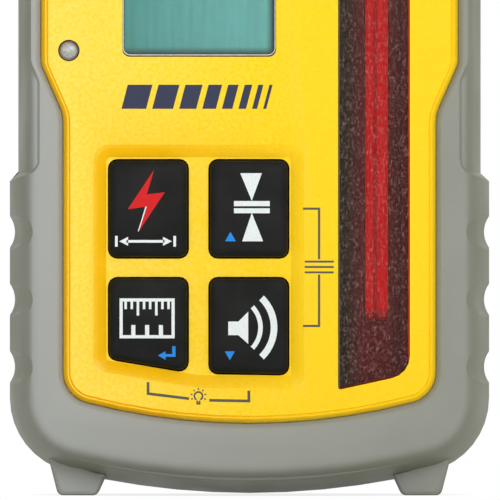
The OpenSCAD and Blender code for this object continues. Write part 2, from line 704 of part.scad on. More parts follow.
// Front half of a foot with a broken front edge
module foot_half() {
    skin([at_depth(foot_outline(0), -part_gap), at_depth(foot_outline(0), foot_front + 0.7),
        at_depth(foot_outline(0.2), foot_front + 0.25), at_depth(foot_outline(0.6), foot_front)]);
}

module front_bumper() color("silver") union() {
    bumper_half(panel_corner, function(z) panel_side(z), y_bumper, y_shoulder);
    for (s = [0, 1]) mirror([s, 0, 0]) foot_half();
}

module rear_bumper() color("silver") difference() {
    mirror([0, 1, 0]) union() {
        bumper_half(back_corner, function(z) back_half, -y_back_bumper, -y_back_shoulder);
        for (s = [0, 1]) mirror([s, 0, 0]) foot_half();
    }
    for (p = boss_spots)
        rod(p.x, p.y, screw_head_r + well_gap, y_back_shoulder - over, y_back_bumper + over);
}

module housing_seal() color("dimgray") difference() {
    slab(core_outline(0.55), 0.02, 0.76);
    slab(core_outline(1.25), -over, 1);
}

module housing_screws() color("lightsteelblue") for (p = boss_spots) difference() {
    union() {
        rod(p.x, p.y, screw_r, y_screw_tip, y_screw_seat + over);
        rod(p.x, p.y, screw_head_r, y_screw_seat + 0.02, y_screw_seat + screw_head_h);
    }
    slab([for (a = [0:60:300]) [p.x + 1.2 * cos(a), p.y + 1.2 * sin(a)]],
        y_screw_seat + screw_head_h - 1.2, y_screw_seat + screw_head_h + over);
}

module front_display_lens() color("paleturquoise")
    slab(rounded(lcd_points, lcd_radii, seat_gap), y_panel + lens_sink, y_panel + lens_sink + lens_t - 0.03);

module front_display_panel() color("cadetblue")
    slab(rounded(lcd_points, lcd_radii, -lcd_grow), y_inside + seat_gap, y_inside + seat_gap + lcd_t);

module front_backlight() color("white")
    slab(rounded(lcd_points, lcd_radii, 0), y_board - seat_gap - light_t, y_board - seat_gap);

module rear_display_lens() color("paleturquoise")
    slab(rounded(back_lcd_points, lcd_radii, seat_gap), y_back - lens_sink - lens_t + 0.03, y_back - lens_sink);

module rear_display_panel() color("cadetblue")
    slab(rounded(back_lcd_points, lcd_radii, -lcd_grow), y_back_lcd, y_back_lcd + lcd_t);

module rear_display_board() color("seagreen") difference() {
    slab(back_board_points, y_back_board, y_back_lcd - seat_gap);
    for (p = back_posts) rod(p.x, p.y, 1.1, y_back_board - over, y_back_lcd);
}

// Flat cable from the back display's board to the main board
ribbon_t = 0.3;
ribbon_lap = 4;
ribbon_end = 14;
ribbon_z = back_lcd_z + back_lcd_h - ribbon_lap;
module display_ribbon() color("darkorange") {
    a = y_back_board - seat_gap;
    b = y_board_back + seat_gap;
    rise = ribbon_lap + back_board_out + 0.8;
    run = 3;
    top = ribbon_z + ribbon_lap + ribbon_end;
    translate([-5, 0, 0]) rotate([90, 0, 90]) linear_extrude(10) polygon([
        [a, ribbon_z], [a, ribbon_z + rise], [b + ribbon_t, ribbon_z + rise + run],
        [b + ribbon_t, top], [b, top], [b, ribbon_z + rise + run - ribbon_t],
        [a - ribbon_t, ribbon_z + rise - ribbon_t], [a - ribbon_t, ribbon_z]]);
}

module photocell_window() color("maroon")
    slab(rounded(window_points, window_radii, seat_gap), y_panel + window_sink, y_panel + window_sink + window_t - 0.03);

module photocell_baffle() color("black") difference() {
    slab(rounded(window_points, window_radii, -1), y_inside + seat_gap, y_board - 0.02);
    slab(rounded(window_points, window_radii, 0.8), y_inside - over, y_tray);
    slab(rounded(window_points, window_radii, 0), y_tray_back, y_board + over);
    block(guide_x0 - slot_gap, guide_end + slot_gap, y_tray - over, y_tray_back + over,
        guide_z - slot_gap, upside(guide_z) + slot_gap);
}

module light_guides() color("firebrick") for (k = [0, 1]) {
    x = k == 0 ? guide_x0 : guide_x1;
    w = guide_w[k];
    translate([x + w / 2, 0, guide_z]) linear_extrude(upside(guide_z) - guide_z) {
        translate([0, y_guide + w / 2]) circle(r = w / 2);
        translate([-w / 2, y_guide + w / 2]) square([w, y_board - diode_h - seat_gap - y_guide - w / 2]);
    }
}

module photodiodes() color("dimgray") for (i = [0:diode_count - 1])
    translate([(guide_x0 + guide_end) / 2 - 1.5, y_board - diode_h, guide_z + (i + 0.5) * diode_pitch - 1.5])
        cube([3, diode_h - 0.02, 3]);

module photocell_board() color("seagreen")
    slab(rounded(window_points, window_radii, -0.9), y_board, y_board_back);

module strobe_lens() color("gainsboro") {
    rod(-strobe_x, strobe_z, strobe_r, y_panel + strobe_sink, y_inside + 0.6);
    rod(-strobe_x, strobe_z, strobe_r + 0.7, y_inside + seat_gap, y_inside + 0.9);
    translate([-strobe_x, y_panel + strobe_sink, strobe_z]) rotate([90, 0, 0])
        rotate_extrude($fn = 32) polygon(concat([[0, 0]], arc([0, -2.2], 2.6, 53.5, 90, 5)));
}

module strobe_sensor() color("dimgray")
    translate([-strobe_x - 1.4, y_board - 1.2, strobe_z - 1.4]) cube([2.8, 1.18, 2.8]);

// A key: rounded cap, flange behind the panel and plunger over its dome
module key(points) {
    c = centre(points);
    hull() {
        slab(rounded(points, key_radii), y_key + 0.75, y_flange + 0.2);
        slab(rounded(points, key_radii, 0.22), y_key + 0.22, y_key + 0.3);
        slab(rounded(points, key_radii, 0.75), y_key, y_key + 0.1);
    }
    slab(rounded(points, key_radii, -flange_out), y_flange, y_flange_back);
    rod(c.x, c.y, plunger_r, y_flange_back - over, y_plunger);
}

module capture_key() color("darkslategray") key(capture_points);
module deadband_key() color("darkslategray") key(deadband_points);
module units_key() color("darkslategray") key(units_points);
module volume_key() color("darkslategray") key(volume_points);
module power_key() color("darkslategray") key(power_points);

module keypad_mat() color("black") difference() {
    slab(rounded(field_points, field_radii, -0.6), y_flange, y_flange_back);
    for (p = all_keys) slab(rounded(p, key_radii, -flange_out - mat_gap), y_flange - over, y_flange_back + over);
}

module key_domes() color("lightgray") for (p = all_keys) {
    c = centre(p);
    rod(c.x, c.y, 3, y_board - dome_h / 2, y_board - 0.02);
    rod(c.x, c.y, 2, y_board - dome_h, y_board - dome_h / 2 + 0.05);
}

module main_board() color("seagreen") difference() {
    union() {
        block(board_x0, board_x1, y_board, y_board_back, board_z0, board_z1);
        block(-strobe_x - 2.5, board_x0 + 1, y_board, y_board_back, strobe_z - 4, strobe_z + 4);
    }
    for (p = front_posts) rod(p.x, p.y, 1.1, y_board - over, y_board_back + over);
}

chip_w = 12;
chip_x = board_x0 + 10.6;
chip_z = lcd_z + 12.6;
module controller_chip() color("dimgray")
    block(chip_x, chip_x + chip_w, y_board_back + 0.02, y_board_back + 1.4, chip_z, chip_z + chip_w);

link_lap = 4;
link_h = 14;
link_z = lcd_z + 4.6;
module board_link() color("black")
    block(board_x1 - link_lap, cell_x0 + link_lap, y_board_back + 0.02, y_board_back + 2.4, link_z, link_z + link_h);

module board_screws() color("lightsteelblue") {
    for (p = front_posts) {
        rod(p.x, p.y, post_screw_r, y_inside + 0.8, y_board_back + over);
        rod(p.x, p.y, 1.8, y_board_back + 0.02, y_board_back + 1.2);
    }
    for (p = back_posts) {
        rod(p.x, p.y, post_screw_r, y_back_board - over, y_back_inside - 0.3);
        rod(p.x, p.y, 1.7, y_back_board - 1.2, y_back_board - 0.02);
    }
}

module buzzer() color("black") difference() {
    rod(0, sound_z, buzzer_r, y_back_inside - seat_gap - membrane_t - buzzer_h, y_back_inside - membrane_t - 2 * seat_gap);
    rod(0, sound_z, 1.5, y_back_inside - 1.5, y_back_inside);
}

module sound_membrane() color("white")
    rod(0, sound_z, buzzer_r - 0.1, y_back_inside - seat_gap - membrane_t, y_back_inside - seat_gap);

// Left cell stands nub up, right cell nub down
module battery_cells() color("steelblue") {
    low = bay_z + plate_room;
    translate([-can_x, y_can, low + spring_room]) {
        cylinder(r = cell_can_r, h = cell_can_len - nub_h);
        cylinder(r = nub_r, h = cell_can_len);
    }
    translate([can_x, y_can, low]) {
        translate([0, 0, nub_h]) cylinder(r = cell_can_r, h = cell_can_len - nub_h);
        cylinder(r = nub_r, h = nub_h + 1);
    }
}

contact_half = 6;
module battery_contacts() color("silver") for (s = [-1, 1], z = [bay_z + 0.05, bay_top - 0.05 - plate_t])
    block(s * can_x - contact_half, s * can_x + contact_half, y_can - contact_half, y_can + contact_half, z, z + plate_t);

// Wire wound to a flat cone
coil_turns = 2.25;
coil_base = 4.5;
coil_tip = 2.2;
coil_steps = 36;
coil_sides = 6;
function coil_path(room) = [for (i = [0:coil_steps]) let (t = i / coil_steps)
    [mix(coil_base, coil_tip, t), 360 * coil_turns * t, wire_r + 0.04 + (room - 2 * wire_r - 0.08) * t]];
function coil_point(p) = [p.x * cos(p.y), p.x * sin(p.y), p.z];
coil_points = [for (p = coil_path(spring_room)) coil_point(p)];
echo(coil_gap = min([for (i = [0:coil_steps], j = [i + 8:1:coil_steps]) norm(coil_points[i] - coil_points[j])]) - 2 * wire_r);

module coil(room) {
    n = coil_sides;
    points = [for (p = coil_path(room), b = [0:n - 1])
        coil_point(p + [wire_r * cos(b * 360 / n), 0, wire_r * sin(b * 360 / n)])];
    walls = [for (i = [0:coil_steps - 1], j = [0:n - 1])
        let (a = i * n + j, b = i * n + (j + 1) % n)
        each [[a, b + n, b], [a, a + n, b + n]]];
    ends = [for (j = [1:n - 2]) each [[0, j, j + 1], [for (k = [0, j + 1, j]) coil_steps * n + k]]];
    polyhedron(points, concat(walls, ends));
}

module battery_springs() color("silver") {
    translate([-can_x, y_can, bay_z + plate_room - 0.03]) coil(spring_room);
    translate([can_x, y_can, bay_top - plate_room + 0.03]) mirror([0, 0, 1]) coil(spring_room);
}

module battery_door() color("gold") difference() {
    union() {
        slab(rounded(door_points, door_radii, door_gap), y_back - door_t, y_back);
        block(-barrel_half, barrel_half, y_back - door_t, y_back, hinge_z, door_low + 1);
        translate([-barrel_half, y_hinge, hinge_z]) rotate([0, 90, 0]) cylinder(r = barrel_r, h = 2 * barrel_half);
        block(-tongue_half, tongue_half, y_tongue, y_back - door_t + over, door_top - 1.55, door_top - 0.45);
    }
    translate([-barrel_half - over, y_hinge, hinge_z]) rotate([0, 90, 0])
        cylinder(r = pin_r + pin_gap, h = 2 * (barrel_half + over));
    for (s = [0, 1]) mirror([s, 0, 0]) translate([barrel_half, 0, 0]) rotate([90, 0, 90])
        linear_extrude(door_half) polygon([[y_back - door_t - over, door_low + door_gap - over],
            [y_back, door_low + door_gap - over], [y_back, door_low + door_gap],
            [y_back - door_t - over, door_low + door_gap + door_t + over]]);
    for (k = [0:4])
        slab(rounded(box_points(-7, 7, door_top - 8 - k * 1.6, door_top - 7.2 - k * 1.6), [0.3, 0.3, 0.3, 0.3]),
            y_back - 0.4, y_back + over);
}

module battery_door_seal() color("dimgray") difference() {
    slab(rounded(seal_points, seal_radii), y_ledge + 0.02, y_ledge + seal_t);
    slab(rounded(seal_points, seal_radii, seal_w), y_ledge - over, y_ledge + 1);
}

module hinge_pin() color("silver")
    translate([-pin_half, y_hinge, hinge_z]) rotate([0, 90, 0]) cylinder(r = pin_r, h = 2 * pin_half);

module clamp_insert() color("goldenrod") difference() {
    rod(0, clamp_z, insert_r, y_back - insert_len + 0.02, y_back - 0.1);
    rod(0, clamp_z, thread_r, y_back - insert_len - over, y_back + over);
}

front_housing();
rear_housing();
front_bumper();
rear_bumper();
housing_seal();
housing_screws();
front_display_lens();
front_display_panel();
front_backlight();
rear_display_lens();
rear_display_panel();
rear_display_board();
display_ribbon();
photocell_window();
photocell_baffle();
light_guides();
photodiodes();
photocell_board();
strobe_lens();
strobe_sensor();
capture_key();
deadband_key();
units_key();
volume_key();
power_key();
keypad_mat();
key_domes();
main_board();
controller_chip();
board_link();
board_screws();
buzzer();
sound_membrane();
battery_cells();
battery_contacts();
battery_springs();
battery_door();
battery_door_seal();
hinge_pin();
clamp_insert();
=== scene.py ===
import json
import math

import bmesh
import bpy
from mathutils import Matrix, Vector

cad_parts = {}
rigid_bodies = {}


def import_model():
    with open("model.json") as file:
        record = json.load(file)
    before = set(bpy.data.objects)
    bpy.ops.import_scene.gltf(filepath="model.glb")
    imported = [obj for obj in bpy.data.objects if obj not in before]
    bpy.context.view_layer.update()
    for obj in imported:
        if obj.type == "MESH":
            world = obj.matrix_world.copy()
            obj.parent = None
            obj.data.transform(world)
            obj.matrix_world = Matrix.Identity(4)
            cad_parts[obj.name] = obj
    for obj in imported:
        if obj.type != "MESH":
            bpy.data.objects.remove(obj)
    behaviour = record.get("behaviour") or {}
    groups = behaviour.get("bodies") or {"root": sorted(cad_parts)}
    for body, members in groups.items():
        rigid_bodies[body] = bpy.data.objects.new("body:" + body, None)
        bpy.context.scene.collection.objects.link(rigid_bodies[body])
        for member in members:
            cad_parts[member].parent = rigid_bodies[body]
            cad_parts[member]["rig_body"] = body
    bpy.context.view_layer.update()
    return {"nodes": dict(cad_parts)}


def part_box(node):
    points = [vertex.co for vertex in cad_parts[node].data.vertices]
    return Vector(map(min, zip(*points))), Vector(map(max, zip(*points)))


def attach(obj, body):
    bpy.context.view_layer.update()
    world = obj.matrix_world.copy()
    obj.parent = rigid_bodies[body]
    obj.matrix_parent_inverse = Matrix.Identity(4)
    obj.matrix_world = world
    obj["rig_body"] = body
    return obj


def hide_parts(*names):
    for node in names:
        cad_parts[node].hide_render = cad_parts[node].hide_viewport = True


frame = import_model()
nodes = frame["nodes"]
scene = bpy.context.scene
scene.view_settings.view_transform = "Standard"
mm = 0.001
print("frame loaded with", len(nodes), "nodes")

cameraView = {"middle": (0.08, 38.83), "distance": 3000.0, "plane": -13.0, "wide": 79.0, "sensor": 36.0,
              "far": 20000.0}


def placeCamera(view):
    data = bpy.data.cameras.new("PhotoCamera")
    data.sensor_width = view["sensor"]
    data.lens = view["sensor"] * view["distance"] / view["wide"]
    data.clip_end = view["far"] * mm
    camera = bpy.data.objects.new("PhotoCamera", data)
    across, up = view["middle"]
    camera.location = (across * mm, (view["plane"] - view["distance"]) * mm, up * mm)
    camera.rotation_euler = (math.pi / 2, 0, 0)  # straight on to the key side
    scene.collection.objects.link(camera)
    scene.camera = camera


placeCamera(cameraView)
print("camera placed")


def newMaterial(name, **sockets):
    material = bpy.data.materials.new(name)
    material.use_nodes = True
    tree = material.node_tree
    shader = tree.nodes["Principled BSDF"]
    for socket, value in sockets.items():
        shader.inputs[socket.replace("_", " ")].default_value = value
    coords = tree.nodes.new("ShaderNodeTexCoord")
    return material, tree, shader, coords.outputs["Object"]


def addNode(tree, kind, **values):
    node = tree.nodes.new("ShaderNode" + kind)
    for name, value in values.items():
        if name in node.inputs:
            node.inputs[name].default_value = value
        else:
            setattr(node, name, value)
    return node


def mathOf(tree, operation, *values):  # each value is a number or another node's output
    node = addNode(tree, "Math", operation=operation)
    for plug, value in zip(node.inputs, values):
        if isinstance(value, float):
            plug.default_value = value
        else:
            tree.links.new(value, plug)
    return node.outputs["Value"]


def placeOf(tree, vector):
    split = addNode(tree, "SeparateXYZ")
    tree.links.new(vector, split.inputs["Vector"])
    return split.outputs


def stretched(tree, coords, scale):
    mapping = addNode(tree, "Mapping", Scale=scale)
    tree.links.new(coords, mapping.inputs["Vector"])
    return mapping.outputs["Vector"]


def noiseOf(tree, coords, scale, detail=2.0, rough=0.5):
    noise = addNode(tree, "TexNoise", Scale=scale, Detail=detail, Roughness=rough)
    tree.links.new(coords, noise.inputs["Vector"])
    return noise.outputs["Fac"]


def spread(tree, value, low, high, to=(0.0, 1.0)):
    limits = addNode(tree, "MapRange")
    limits.inputs["From Min"].default_value = low
    limits.inputs["From Max"].default_value = high
    limits.inputs["To Min"].default_value = to[0]
    limits.inputs["To Max"].default_value = to[1]
    tree.links.new(value, limits.inputs["Value"])
    return limits.outputs["Result"]


def between(tree, value, ends, amounts=(0.0, 1.0)):  # the ends are in millimetres
    return spread(tree, value, ends[0] * mm, ends[1] * mm, amounts)


def within(tree, value, low, high):
    return mathOf(tree, "COMPARE", value, (low + high) / 2, (high - low) / 2)


def steepness(tree, flat, steep):  # how far a face turns away from the front
    coords = addNode(tree, "TexCoord")
    front = mathOf(tree, "ABSOLUTE", placeOf(tree, coords.outputs["Normal"])["Y"])
    return spread(tree, front, flat, steep)


def scaled(colour, factor):
    return tuple(c * factor for c in colour)


def blendOf(tree, factor, first, second):
    mix = addNode(tree, "Mix", data_type="RGBA")
    tree.links.new(factor, mix.inputs["Factor"])
    for socket, colour in (("A", first), ("B", second)):
        plug = [i for i in mix.inputs if i.name == socket and i.type == "RGBA"][0]
        if isinstance(colour, tuple):
            plug.default_value = (*colour, 1.0)
        else:
            tree.links.new(colour, plug)
    return [o for o in mix.outputs if o.type == "RGBA"][0]


def varyGloss(tree, shader, value, gloss, first, last):
    tree.links.new(spread(tree, value, 0.3, 0.7, (gloss + first, gloss + last)), shader.inputs["Roughness"])


def roughen(tree, shader, heights):  # height, strength and depth in millimetres of each layer
    normal = None
    for height, strength, depth in heights:
        bump = addNode(tree, "Bump", Strength=strength, Distance=depth * mm)
        tree.links.new(height, bump.inputs["Height"])
        if normal:
            tree.links.new(normal, bump.inputs["Normal"])
        normal = bump.outputs["Normal"]
    tree.links.new(normal, shader.inputs["Normal"])


yellowFinish = {  # the mottle with its painted sheen, the painted sheen on the left and the painted shade on the walls: two places across in millimetres, and the amount at each
    "colour": (1.0, 0.665, 0.010), "pale": (1.0, 0.735, 0.120), "deep": (0.99, 0.625, 0.001),
    "painted_sheen": (1.0, 0.78, 0.20), "seat_shade": (0.030, 0.012, 0.004), "wall": (0.91, 0.495, 0.001),
    "gloss": 0.27, "peel": 0.16, "grain": 0.04, "steep": (0.9995, 0.95),
    "mottle_and_sheen": ((-30.0, 10.0), (0.68, 0.10)), "sheen_fade": ((-30.0, 0.0), (0.25, 0.0)),
    "walls": ((-14.0, 6.0), (1.0, 0.25)), "seat": {"side": 0.3, "front": 0.15, "back": -1.0},
}


def windowSeat(tree, place, seat):  # the shell behind the red window, which gets painted shade
    low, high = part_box("photocell_window")
    side = seat["side"] * mm
    behind = within(tree, place["Y"], high.y - seat["front"] * mm, seat["back"] * mm)
    across = within(tree, place["X"], low.x - side, high.x + side)
    upright = within(tree, place["Z"], low.z - side, high.z + side)
    return mathOf(tree, "MULTIPLY", mathOf(tree, "MULTIPLY", behind, across), upright)


def yellowPlastic(finish):
    material, tree, shader, coords = newMaterial("YellowShell", Roughness=finish["gloss"],
                                                 Specular_IOR_Level=0.11)
    peel = noiseOf(tree, coords, 1700.0, 3.0, 0.55)  # mould texture, under a millimetre
    cloud = noiseOf(tree, coords, 260.0)
    fine = noiseOf(tree, coords, 5200.0)
    place = placeOf(tree, coords)
    # mould mottle; its pale flecks are partly painted sheen
    tint = blendOf(tree, spread(tree, peel, 0.40, 0.62), finish["deep"], finish["pale"])
    # painted sheen: the pale mottle is stronger towards the left
    tint = blendOf(tree, between(tree, place["X"], *finish["mottle_and_sheen"]), finish["colour"], tint)
    # painted sheen: paler towards the left
    tint = blendOf(tree, between(tree, place["X"], *finish["sheen_fade"]), tint, finish["painted_sheen"])
    wall = mathOf(tree, "MULTIPLY", steepness(tree, *finish["steep"]),
                  between(tree, place["X"], *finish["walls"]))
    tint = blendOf(tree, wall, tint, finish["wall"])  # painted shade: steep walls get a deeper, darker orange without the mottle, more on the left
    # painted shade: the shell behind the red window is near black
    tint = blendOf(tree, windowSeat(tree, place, finish["seat"]), tint, finish["seat_shade"])
    tree.links.new(tint, shader.inputs["Base Color"])
    varyGloss(tree, shader, cloud, finish["gloss"], -0.04, 0.07)
    roughen(tree, shader, [(peel, finish["peel"], 0.12), (fine, finish["grain"], 0.03)])
    return material


greyFinish = {"colour": (0.296, 0.304, 0.268), "dark": (0.272, 0.280, 0.243), "worn_and_sheen": (0.375, 0.387, 0.368),
              "wall": (0.220, 0.224, 0.164), "gloss": 0.46, "grain": 0.14, "steep": (0.94, 0.25),
              "sheen_side": ((-34.0, 34.0), (0.85, 0.0))}


def greyRubber(finish):
    material, tree, shader, coords = newMaterial("GreyOvermould", Roughness=finish["gloss"],
                                                 Specular_IOR_Level=0.14)
    grain = noiseOf(tree, coords, 6500.0, 3.0, 0.6)  # eroded mould skin
    cloud = noiseOf(tree, coords, 90.0, 3.0)
    specks = noiseOf(tree, coords, 900.0, 1.0)
    place = placeOf(tree, coords)
    tint = blendOf(tree, spread(tree, cloud, 0.3, 0.7), finish["dark"], finish["colour"])
    tint = blendOf(tree, spread(tree, specks, 0.74, 0.8, (0.0, 0.3)), tint, finish["worn_and_sheen"])
    # painted sheen: paler towards the left
    tint = blendOf(tree, between(tree, place["X"], *finish["sheen_side"]), tint, finish["worn_and_sheen"])
    wall = steepness(tree, *finish["steep"])
    tint = blendOf(tree, wall, tint, finish["wall"])  # painted shade: steep faces get a darker grey
    tree.links.new(tint, shader.inputs["Base Color"])
    varyGloss(tree, shader, cloud, finish["gloss"], -0.05, 0.08)
    roughen(tree, shader, [(grain, finish["grain"], 0.04)])
    return material


keyFinish = {"colour": (0.0088, 0.0092, 0.0086), "worn": (0.0130, 0.0136, 0.0128),
             "wall": (0.003, 0.003, 0.002), "gloss": 0.5, "grain": 0.10, "steep": (0.9995, 0.96)}


def keyRubber(finish):
    material, tree, shader, coords = newMaterial("KeyRubber", Roughness=finish["gloss"],
                                                 Specular_IOR_Level=0.08)
    grain = noiseOf(tree, coords, 7000.0)
    touch = noiseOf(tree, coords, 160.0)  # polished by fingers in places
    tint = blendOf(tree, spread(tree, touch, 0.35, 0.7), finish["colour"], finish["worn"])
    tint = blendOf(tree, steepness(tree, *finish["steep"]), tint, finish["wall"])  # painted shade: the sloping shoulders are darker, so the worn patches show only on the faces
    tree.links.new(tint, shader.inputs["Base Color"])
    varyGloss(tree, shader, touch, finish["gloss"], 0.06, -0.06)
    roughen(tree, shader, [(grain, finish["grain"], 0.03)])
    return material


inkFinish = {"white": (0.80, 0.86, 0.855), "red": (0.66, 0.014, 0.017), "blue": (0.022, 0.255, 0.74),
             "grey": (0.115, 0.105, 0.085), "navy": (0.040, 0.046, 0.085), "thin": 0.93}


def printInk(name, colour, thin):
    material, tree, shader, coords = newMaterial(name, Roughness=0.5, Specular_IOR_Level=0.12)
    cover = noiseOf(tree, coords, 2600.0)  # screen print, slightly uneven
    tint = blendOf(tree, spread(tree, cover, 0.35, 0.65), scaled(colour, thin), colour)
    tree.links.new(tint, shader.inputs["Base Color"])
    roughen(tree, shader, [(cover, 0.05, 0.02)])
    return material


displayFinish = {"left": (0.080, 0.325, 0.295), "right": (0.155, 0.490, 0.455), "streak": 0.10,
                 "ends": (-20.0, 4.0),
                 "brush": {"stretch": (900.0, 900.0, 60.0), "dim": 0.86, "limits": (0.35, 0.7)}}


def polariser(tree, coords, across, finish, brush):
    grain = noiseOf(tree, stretched(tree, coords, brush["stretch"]), 1.0, 3.0)  # runs upright
    left, right = finish["left"], finish["right"]
    bright = blendOf(tree, across, left, right)
    faint = blendOf(tree, across, scaled(left, brush["dim"]), scaled(right, brush["dim"]))
    return grain, blendOf(tree, spread(tree, grain, *brush["limits"]), faint, bright)


def displayGlass(finish):
    material, tree, shader, coords = newMaterial("DisplayGlass", Roughness=0.45, Specular_IOR_Level=0.3)
    across = between(tree, placeOf(tree, coords)["X"], finish["ends"])
    grain, tint = polariser(tree, coords, across, finish, finish["brush"])
    tree.links.new(tint, shader.inputs["Base Color"])
    roughen(tree, shader, [(grain, finish["streak"], 0.02)])
    return material


lensFinish = {"colour": (0.30, 0.38, 0.37), "thin": 0.9, "clear": 0.06, "gloss": 0.12}


def clearLens(finish):
    material, tree, shader, coords = newMaterial("DisplayLens", Roughness=finish["gloss"])
    haze = noiseOf(tree, coords, 420.0, 3.0)
    colour, clear = finish["colour"], finish["clear"]
    tint = blendOf(tree, spread(tree, haze, 0.3, 0.7), scaled(colour, finish["thin"]), colour)
    tree.links.new(tint, shader.inputs["Base Color"])
    tree.links.new(spread(tree, haze, 0.3, 0.75, (clear * 0.6, clear * 1.4)), shader.inputs["Alpha"])
    roughen(tree, shader, [(haze, 0.02, 0.02)])
    return material


windowFinish = {"colour": (0.090, 0.024, 0.021), "speck": (0.39, 0.23, 0.22), "west": (0.058, 0.040, 0.020),
                "glow": (0.52, 0.045, 0.004), "sheen": (0.13, 0.15, 0.17), "low": (0.16, 0.010, 0.002),
                "cover": 0.30, "gloss": 0.30, "turn": (15.6, 17.4), "span": (14.02, 25.25),
                "side": (0.3, 0.1), "base": (0.3, 0.12), "foot": 16.80, "slope": 0.232}


def redFilter(finish):
    material, tree, shader, coords = newMaterial("RedFilter", Roughness=finish["gloss"],
                                                 Specular_IOR_Level=0.12)
    frost = noiseOf(tree, stretched(tree, coords, (3700.0, 3700.0, 2000.0)), 1.0, 2.0, 0.6)
    specks = spread(tree, frost, 0.55, 0.69)  # frosted flecks that catch the light
    place = placeOf(tree, coords)
    tint = blendOf(tree, between(tree, place["X"], finish["turn"]), finish["west"], finish["colour"])
    tint = blendOf(tree, specks, tint, finish["speck"])
    cover = spread(tree, frost, 0.35, 0.75, (finish["cover"] - 0.06, finish["cover"] + 0.14))
    left, right = (v * mm for v in finish["span"])
    far, near = (v * mm for v in finish["side"])
    foot = finish["foot"] * mm - finish["slope"] * left
    start, stop = (foot + v * mm for v in finish["base"])
    rise = mathOf(tree, "MULTIPLY_ADD", place["X"], -finish["slope"], place["Z"])  # over the leaning edge
    edges = [spread(tree, rise, start, stop), spread(tree, place["X"], right - far, right - near),
             spread(tree, place["X"], left + far, left + near)]
    for edge, colour in zip(edges, ("low", "glow", "sheen")):  # edges gather light
        tint = blendOf(tree, edge, tint, finish[colour])
        cover = mathOf(tree, "MAXIMUM", cover, edge)
    tree.links.new(tint, shader.inputs["Base Color"])
    tree.links.new(cover, shader.inputs["Alpha"])
    roughen(tree, shader, [(frost, 0.12, 0.04)])
    return material


guideFinish = {"name": "LightGuide", "colour": (0.92, 0.006, 0.005), "deep": (0.66, 0.005, 0.005),
               "dim": (0.70, 0.007, 0.007), "end": (0.10, 0.008, 0.007), "glow": 0.5,
               "split": (19.6, 20.0), "fade": (27.5, 29.9)}
webFinish = {**guideFinish, "name": "GuideWeb", "colour": (0.62, 0.006, 0.005), "deep": (0.48, 0.005, 0.005),
             "dim": (0.50, 0.006, 0.006), "glow": 0.34}


def lightGuide(finish):
    material, tree, shader, coords = newMaterial(finish["name"], Roughness=0.45, Specular_IOR_Level=0.05)
    # painted glow: the guides and the web give off red light of their own
    shader.inputs["Emission Color"].default_value = (*finish["colour"], 1.0)
    ribs = noiseOf(tree, stretched(tree, coords, (1500.0, 1500.0, 240.0)), 1.0)
    place = placeOf(tree, coords)
    tint = blendOf(tree, spread(tree, ribs, 0.35, 0.65), finish["deep"], finish["colour"])
    tint = blendOf(tree, between(tree, place["X"], finish["split"]), finish["dim"], tint)
    lit = between(tree, place["Z"], finish["fade"])  # the lower end gets little light
    tree.links.new(blendOf(tree, lit, finish["end"], tint), shader.inputs["Base Color"])
    tree.links.new(spread(tree, lit, 0.0, 1.0, (0.0, finish["glow"])), shader.inputs["Emission Strength"])
    roughen(tree, shader, [(ribs, 0.15, 0.06)])
    return material


baffleFinish = {"colour": (0.030, 0.024, 0.020), "warm": (0.230, 0.018, 0.018), "dim": (0.018, 0.012, 0.012),
                "middle": 19.8, "bounce": (1.5, 4.5)}


def darkBaffle(finish):
    material, tree, shader, coords = newMaterial("DarkPlastic", Roughness=0.6, Specular_IOR_Level=0.2)
    offset = mathOf(tree, "SUBTRACT", placeOf(tree, coords)["X"], finish["middle"] * mm)
    away = mathOf(tree, "ABSOLUTE", offset)
    grain = noiseOf(tree, coords, 1800.0)
    bounce = between(tree, away, finish["bounce"])  # red bounce beside the guides
    tint = blendOf(tree, bounce, finish["warm"], finish["colour"])
    dim = blendOf(tree, spread(tree, grain, 0.3, 0.7, (0.0, 0.4)), tint, finish["dim"])
    tree.links.new(dim, shader.inputs["Base Color"])
    roughen(tree, shader, [(grain, 0.1, 0.04)])
    return material


noStretch = (1.0, 1.0, 1.0)


def evenFinish(name, colour, other, gloss, scale, bump=0.08, stretch=noStretch, metal=0.0):
    material, tree, shader, coords = newMaterial(name, Roughness=gloss, Metallic=metal)
    grain = noiseOf(tree, stretched(tree, coords, stretch), scale, 3.0)
    tint = blendOf(tree, spread(tree, grain, 0.32, 0.68), colour, other)
    tree.links.new(tint, shader.inputs["Base Color"])
    varyGloss(tree, shader, grain, gloss, -0.06, 0.08)
    roughen(tree, shader, [(grain, bump, 0.04)])
    return material


otherFinishes = {  # name, two colours, gloss, grain scale, then bump, stretch and metal where they differ
    "sealRubber": ("SealRubber", (0.018, 0.018, 0.018), (0.03, 0.03, 0.03), 0.6, 1800.0),
    "screwSteel": ("ScrewSteel", (0.30, 0.31, 0.33), (0.42, 0.43, 0.45), 0.32, 1600.0, 0.06, noStretch, 1.0),
    "contactSteel": ("ContactSteel", (0.56, 0.56, 0.55), (0.70, 0.69, 0.66), 0.28, 900.0, 0.06,
                     (1.0, 1.0, 4.0), 1.0),
    "insertBrass": ("InsertBrass", (0.60, 0.40, 0.14), (0.74, 0.52, 0.22), 0.3, 1200.0, 0.06,
                    (1.0, 4.0, 1.0), 1.0),
    "boardGreen": ("BoardGreen", (0.012, 0.10, 0.045), (0.02, 0.15, 0.07), 0.45, 700.0),
    "backlightWhite": ("BacklightWhite", (0.74, 0.75, 0.74), (0.82, 0.83, 0.82), 0.5, 900.0),
    "ribbonAmber": ("RibbonAmber", (0.42, 0.19, 0.03), (0.52, 0.25, 0.05), 0.35, 600.0, 0.05,
                    (6.0, 1.0, 0.2)),
    "membrane": ("Membrane", (0.05, 0.05, 0.052), (0.09, 0.09, 0.092), 0.75, 4200.0, 0.2),
    "bayPlastic": ("BayPlastic", (0.020, 0.020, 0.021), (0.032, 0.032, 0.033), 0.5, 2600.0),
}

